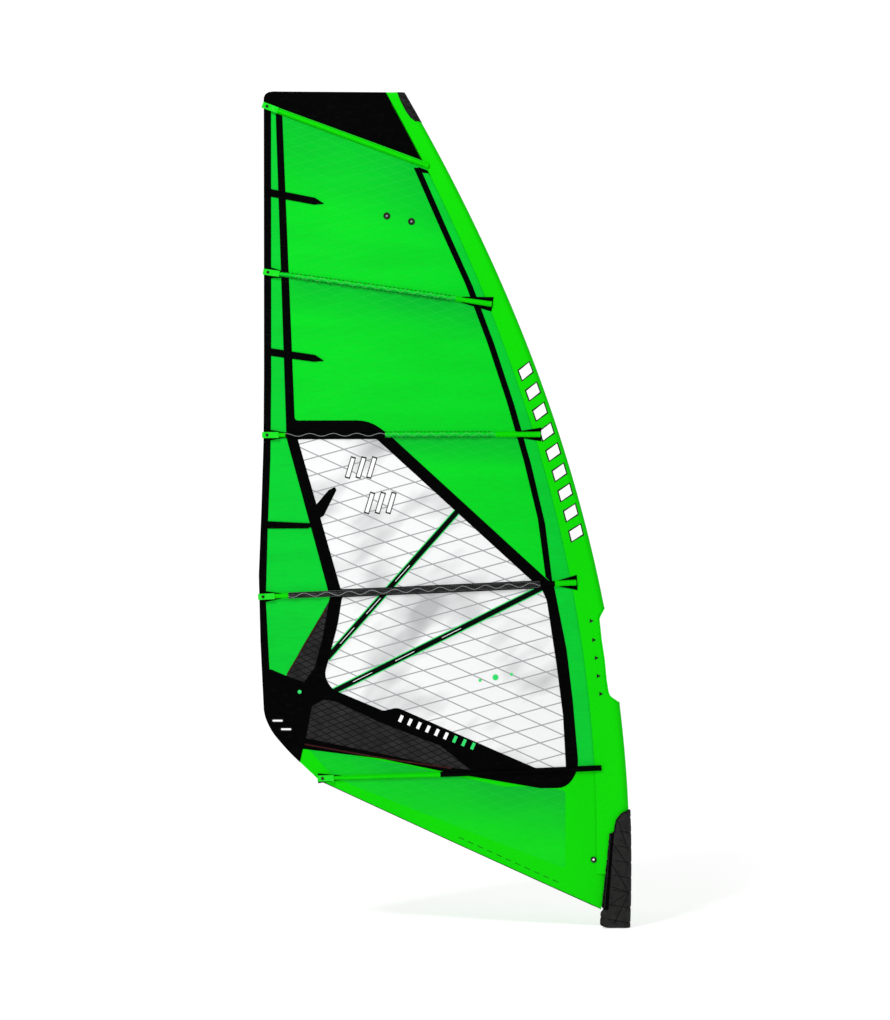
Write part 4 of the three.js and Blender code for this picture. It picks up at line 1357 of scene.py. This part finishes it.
BAR_ALONG = 0.046
BAR_ACROSS = 0.056
BAR_LEAN = 0.010


def bar_corners(x, z, margin):
    """A leaning block that follows the sleeve, with its centre at (x, z) and a margin all round."""
    run = Vector((mast_x(z + 0.05) - mast_x(z - 0.05), 0.10)).normalized()
    out = Vector((run.y, -run.x))
    centre = Vector((x, z))
    corners = []
    for u, v in ((-1, -1), (1, -1), (1, 1), (-1, 1)):
        along = v * (BAR_ALONG / 2 + margin) + BAR_LEAN * u
        corners.append(centre + run * along + out * u * (BAR_ACROSS / 2 + margin))
    return corners


def sleeve_bars(count=9):
    """Plain slanted bars down the sleeve, each on a dark edge."""
    for k in range(count):
        z = mix(2.600, 1.845, k / (count - 1))
        x = nose_x(z) - BAR_ACROSS
        edge, bar = bar_corners(x, z, 0.006), bar_corners(x, z, 0.0)
        sleeve_patch("sleeve_edge_%d" % (k + 1), edge, BLACK_TRIM, ON_CLOTH)
        sleeve_patch("sleeve_bar_%d" % (k + 1), bar, WHITE_PRINT, 0.0008)


def strip_bars(white=6, green=3):
    """A plain row of slanted bars on the black strip below the window."""
    for k in range(white + green):
        x = -1.035 + 0.042 * k
        z = 0.971 - 0.379 * (x + 1.015)
        material = WHITE_PRINT if k < white else HALO
        a, b = (x - 0.006, z - 0.015), (x + 0.008, z + 0.015)
        strap("strip_bar_%d" % (k + 1), a, b, 0.0075, material, "webbing", 0.0013)


def window_bars():
    """Two groups of three plain outlined bars on the window."""
    for k, (x, z) in enumerate(((-1.285, 2.150), (-1.195, 1.985))):
        for j in range(3):
            a = Vector((x + 0.050 * j, z - 0.050))
            b = a + Vector((0.030, 0.100))
            name = "window_bar_%d_%d" % (k + 1, j + 1)
            strap(name + "_edge", a, b, 0.0125, BLACK_TRIM, "window_film", ON_CLOTH, thick=0.0004)
            way = (b - a).normalized() * 0.007
            strap(name, a + way, b - way, 0.0080, WHITE_PRINT, "window_film", 0.0007)


# ---------------------------------------------------------------- tack fairing
def swollen(piece):
    """The pad blown up by cloth simulation, with its result in the mesh."""
    cloth = piece.modifiers.new("cloth", "CLOTH")
    settings = cloth.settings
    settings.use_pressure = True
    settings.uniform_pressure_force = 4.0
    settings.effector_weights.gravity = 0.0
    settings.quality = 4
    cloth.collision_settings.use_collision = False
    scene = bpy.context.scene
    for step in range(1, CLOTH_STEPS + 1):
        scene.frame_set(step)
    apply_modifiers(piece)
    scene.frame_set(1)


def simulated_pad(node, name):
    """The pad's CAD solid as foam in fabric: remeshed, swollen a little and quilted."""
    piece = copy_of(node, name)
    bpy.context.view_layer.objects.active = piece
    remesh = piece.modifiers.new("remesh", "REMESH")
    remesh.mode = "VOXEL"
    remesh.voxel_size = VOXEL
    apply_modifiers(piece)
    piece.data.update()
    rest = [(v.co.copy(), v.normal.copy()) for v in piece.data.vertices]
    swollen(piece)
    for vertex, (home, normal) in zip(piece.data.vertices, rest):
        facing = normal.x * (home.x - mast_x(home.z)) + normal.y * home.y
        cap = SWELL if facing > 0 else SWELL_INSIDE
        moved = vertex.co - home
        if moved.length > cap:
            moved = moved.normalized() * cap
        vertex.co = home + moved
    piece.modifiers.new("finer", "SUBSURF").levels = 1
    apply_modifiers(piece)
    quilt(piece)
    piece.data.shade_smooth()
    cover(piece, PAD)
    return piece


def apply_modifiers(piece):
    bpy.context.view_layer.update()
    graph = bpy.context.evaluated_depsgraph_get()
    final = bpy.data.meshes.new_from_object(piece.evaluated_get(graph), depsgraph=graph)
    piece.modifiers.clear()
    piece.data = final


def channel(distance, width):
    return math.exp(-((distance / width) ** 2))


# The slanting seams of the pad, each as X and Z at its two ends.
SLANTS = (
    (0.032, 0.168, -0.050, 0.300),
    (0.032, 0.168, -0.062, 0.196),
    (0.032, 0.168, -0.060, 0.110),
    (0.032, 0.168, -0.040, 0.020),
    (0.028, 0.290, -0.046, 0.400),
    (0.028, 0.360, -0.020, 0.500),
)


def rib_z(k, x):
    """The level ribs fall a little towards the nose."""
    return RIB_FIRST + RIB_PITCH * k - RIB_FALL * (x + RIB_FALL_FROM)


def slant_distance(x, z):
    best = 1.0
    for x0, z0, x1, z1 in SLANTS:
        a, way = Vector((x0, z0)), Vector((x1 - x0, z1 - z0))
        t = clamp((Vector((x, z)) - a).dot(way) / way.length_squared)
        best = min(best, (a + way * t - Vector((x, z))).length)
    return best


def quilt(piece):
    """Sewn channels: level ribs up the pad and slanting seams, drawn in by about 2 mm."""
    piece.data.update()
    normals = [v.normal.copy() for v in piece.data.vertices]
    for vertex, normal in zip(piece.data.vertices, normals):
        p = vertex.co
        row = (p.z - rib_z(0, p.x)) / RIB_PITCH % 1.0
        level = channel(min(row, 1 - row) * RIB_PITCH, QUILT_WIDTH)
        slant = channel(slant_distance(p.x, p.z), QUILT_WIDTH)
        vertex.co = p - normal * QUILT_DEPTH * max(level, slant)


def line_of_sight(piece):
    """Finds where a line along +Y first meets a piece, or the nearest point if it misses."""
    faces = [tuple(p.vertices) for p in piece.data.polygons]
    tree = BVHTree.FromPolygons([v.co for v in piece.data.vertices], faces)

    def find(x, z, lift=0.0):
        hit = tree.ray_cast(Vector((x, -0.5, z)), Vector((0, 1, 0)))[0]
        if hit is None:
            hit = tree.find_nearest(Vector((x, -0.05, z)))[0]
        return hit - Vector((0, lift, 0))

    return find


def pad_line(name, points, radius, material, find, lift):
    """A cord on the flap along a line in X and Z."""
    fine = resample([Vector(p[:2]) for p in points], 0.005, closed=False)
    line = [find(p.x, p.y, lift) for p in fine]
    apart = [line[0]] + [b for a, b in zip(line, line[1:]) if (b - a).length > 1e-4]
    return finish_piece(tube(name, apart, radius, material, sides=6), body="flap")


FLAP_ARCH = [
    (-0.045, 0.446),
    (-0.034, 0.504, 0.02),
    (-0.009, 0.539, 0.02),
    (0.028, 0.552, 0.01),
    (0.043, 0.553),
]
FLAP_LIP = [(-0.099, 0.010), (-0.101, 0.040), (-0.094, 0.066)]
CLOSURE = [(-0.099, 0.086), (-0.066, 0.086), (-0.040, 0.444), (-0.064, 0.444)]
CLOSURE_RIDGE = [(-0.084, 0.095), (-0.055, 0.436)]
SEAM_SINK = -0.0009
FLAP_TOP_Z = 0.53


def fairing():
    front = simulated_pad("fairing_flap", "fairing_flap_pad")
    finish_piece(front, ["fairing_flap"], body="flap")
    back = simulated_pad("fairing_back", "fairing_back_pad")
    finish_piece(back, ["fairing_back"])

    find = line_of_sight(front)
    # The rib and seam cords are black and 4.8 mm thick: the quilting stitches, widened into painted shade in
    # the sewn channels.
    for k in range(7):
        left = mix(-0.098, -0.050, k / 6)
        ends = [(x, rib_z(k, x)) for x in (left + 0.034, 0.0, 0.040)]
        if ends[-1][1] < FLAP_TOP_Z:
            pad_line("flap_rib_thread_shade_%d" % (k + 1), ends, 0.0024, BLACK_THREAD, find, SEAM_SINK)
    for k, (x0, z0, x1, z1) in enumerate(SLANTS):
        pad_line("flap_seam_thread_shade_%d" % (k + 1), [(x0, z0), (x1, z1)], 0.0024, BLACK_THREAD, find, SEAM_SINK)
    pad_line("flap_piping", rounded(FLAP_ARCH, closed=False), 0.0034, BLACK_THREAD, find, 0.0008)
    loop = [Vector(p) for p in CLOSURE]
    piece = skin("closure_strip", [loop], find, BLACK_CLOTH, 0.0003, 0.0014, 0.006)
    finish_piece(piece, body="flap")
    pad_line("closure_ridge", CLOSURE_RIDGE, 0.0013, DARK_GREY, find, 0.0014)
    pad_line("flap_lip", FLAP_LIP, 0.0032, BLACK_TRIM, find, 0.0006)


# ---------------------------------------------------------------- webbing, caps and hardware
def pulley_strap():
    piece = copy_of("pulley_strap", "pulley_webbing")
    bevelled(piece, 0.0004, 2)
    cover(piece, WEBBING)
    finish_piece(piece, ["pulley_strap"])


def caps():
    """Each tensioner cap with rounded edges, and a flat black disc on its face: painted shade for the recess
    in it.
    """
    for k in range(5):
        node = "cap_%d" % (k + 1)
        piece = copy_of(node, node + "_shell", flatten=True)
        bevelled(piece, 0.0012, 3).angle_limit = math.radians(50)
        cover(piece, CAP)
        finish_piece(piece, [node])
        spot = batten_place(k, 0.020)
        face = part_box(node)[0].y

        def on_cap(x, z, lift, face=face):
            return Vector((x, face - lift, z))

        # A flat black disc on the cap's face: painted shade for its recess.
        name = "cap_recess_%d" % (k + 1)
        ring_mark(name, spot.x, spot.y, 0.0068, 0.0, BLACK_TRIM, on_cap, 0.0002, 0.0004)


def hardware():
    """The small rigid pieces keep their CAD shape and get their real materials."""
    finishes = {
        "cup": NYLON,
        "screw": STEEL,
        "batten": ROD,
        "sheave": NYLON,
        "pulley_frame": STEEL,
        "pulley_pin": STEEL,
        "clew_eyelet": DARK_METAL,
        "tack_eyelet": DARK_METAL,
    }
    for node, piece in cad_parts.items():
        material = finishes.get(node.rstrip("_0123456789"))
        if material:
            cover(piece, material)


# ---------------------------------------------------------------- floor, light and camera
def studio_world():
    """An even pale sky that lights softly and shows nearly white to the camera."""
    world = bpy.data.worlds.new("studio")
    world.use_nodes = True
    tree = world.node_tree
    sky = tree.nodes["Background"]
    seen = tree.nodes.new("ShaderNodeBackground")
    for node, strength in ((sky, 0.45), (seen, 1.05)):
        node.inputs["Color"].default_value = WHITE
        node.inputs["Strength"].default_value = strength
    path = tree.nodes.new("ShaderNodeLightPath")
    mixed = tree.nodes.new("ShaderNodeMixShader")
    tree.links.new(path.outputs["Is Camera Ray"], mixed.inputs[0])
    tree.links.new(sky.outputs[0], mixed.inputs[1])
    tree.links.new(seen.outputs[0], mixed.inputs[2])
    tree.links.new(mixed.outputs[0], tree.nodes["World Output"].inputs["Surface"])
    return world


def pale_floor(centre):
    f = Finish("floor", 0.9, Specular_IOR_Level=0.1, Emission_Color=WHITE, Emission_Strength=0.50)
    f.colour(f.blend(f.noise(3.0, 2.0), (0.93, 0.93, 0.93), (0.95, 0.95, 0.95)))
    mesh = bmesh.new()
    bmesh.ops.create_circle(mesh, cap_ends=True, radius=FLOOR_RADIUS, segments=96)
    data = bpy.data.meshes.new("floor")
    mesh.to_mesh(data)
    mesh.free()
    data.materials.append(f.material)
    floor = bpy.data.objects.new("floor", data)
    floor.location = (centre.x, centre.y, cad_low.z - FLOOR_GAP)
    bpy.context.scene.collection.objects.link(floor)


def soft_light(name, centre, offset, size, power):
    data = bpy.data.lights.new(name, "AREA")
    data.shape = "RECTANGLE"
    data.size = data.size_y = size
    data.energy = power
    lamp = bpy.data.objects.new(name, data)
    lamp.location = centre + Vector(offset)
    lamp.rotation_mode = "QUATERNION"
    lamp.rotation_quaternion = (-Vector(offset)).to_track_quat("-Z", "Y")
    bpy.context.scene.collection.objects.link(lamp)


def stage():
    centre = (cad_low + cad_high) / 2
    scene = bpy.context.scene
    pale_floor(centre)
    scene.world = studio_world()
    soft_light("key", centre, (-3.5, -6.0, 6.5), 2.4, 590)
    soft_light("fill", centre, (6.0, 6.0, 4.0), 4.0, 60)
    camera = bpy.data.objects.new("camera", bpy.data.cameras.new("camera"))
    camera.location = centre + Vector((0, -CAMERA_DISTANCE, 0))
    camera.rotation_euler = (math.radians(90), 0, 0)
    camera.data.sensor_width = SENSOR
    camera.data.lens = SENSOR * CAMERA_DISTANCE * PICTURE_SHARE / (cad_high.z - cad_low.z)
    camera.data.clip_end = 200.0
    scene.collection.objects.link(camera)
    scene.camera = camera
    scene.view_settings.view_transform = "Standard"


stage()
panels()
edges_and_seams()
sleeve()
head_patch()
pockets()
wedges()
struts()
mini_battens()
marks()
sleeve_bars()
strip_bars()
window_bars()
fairing()
pulley_strap()
caps()
hardware()
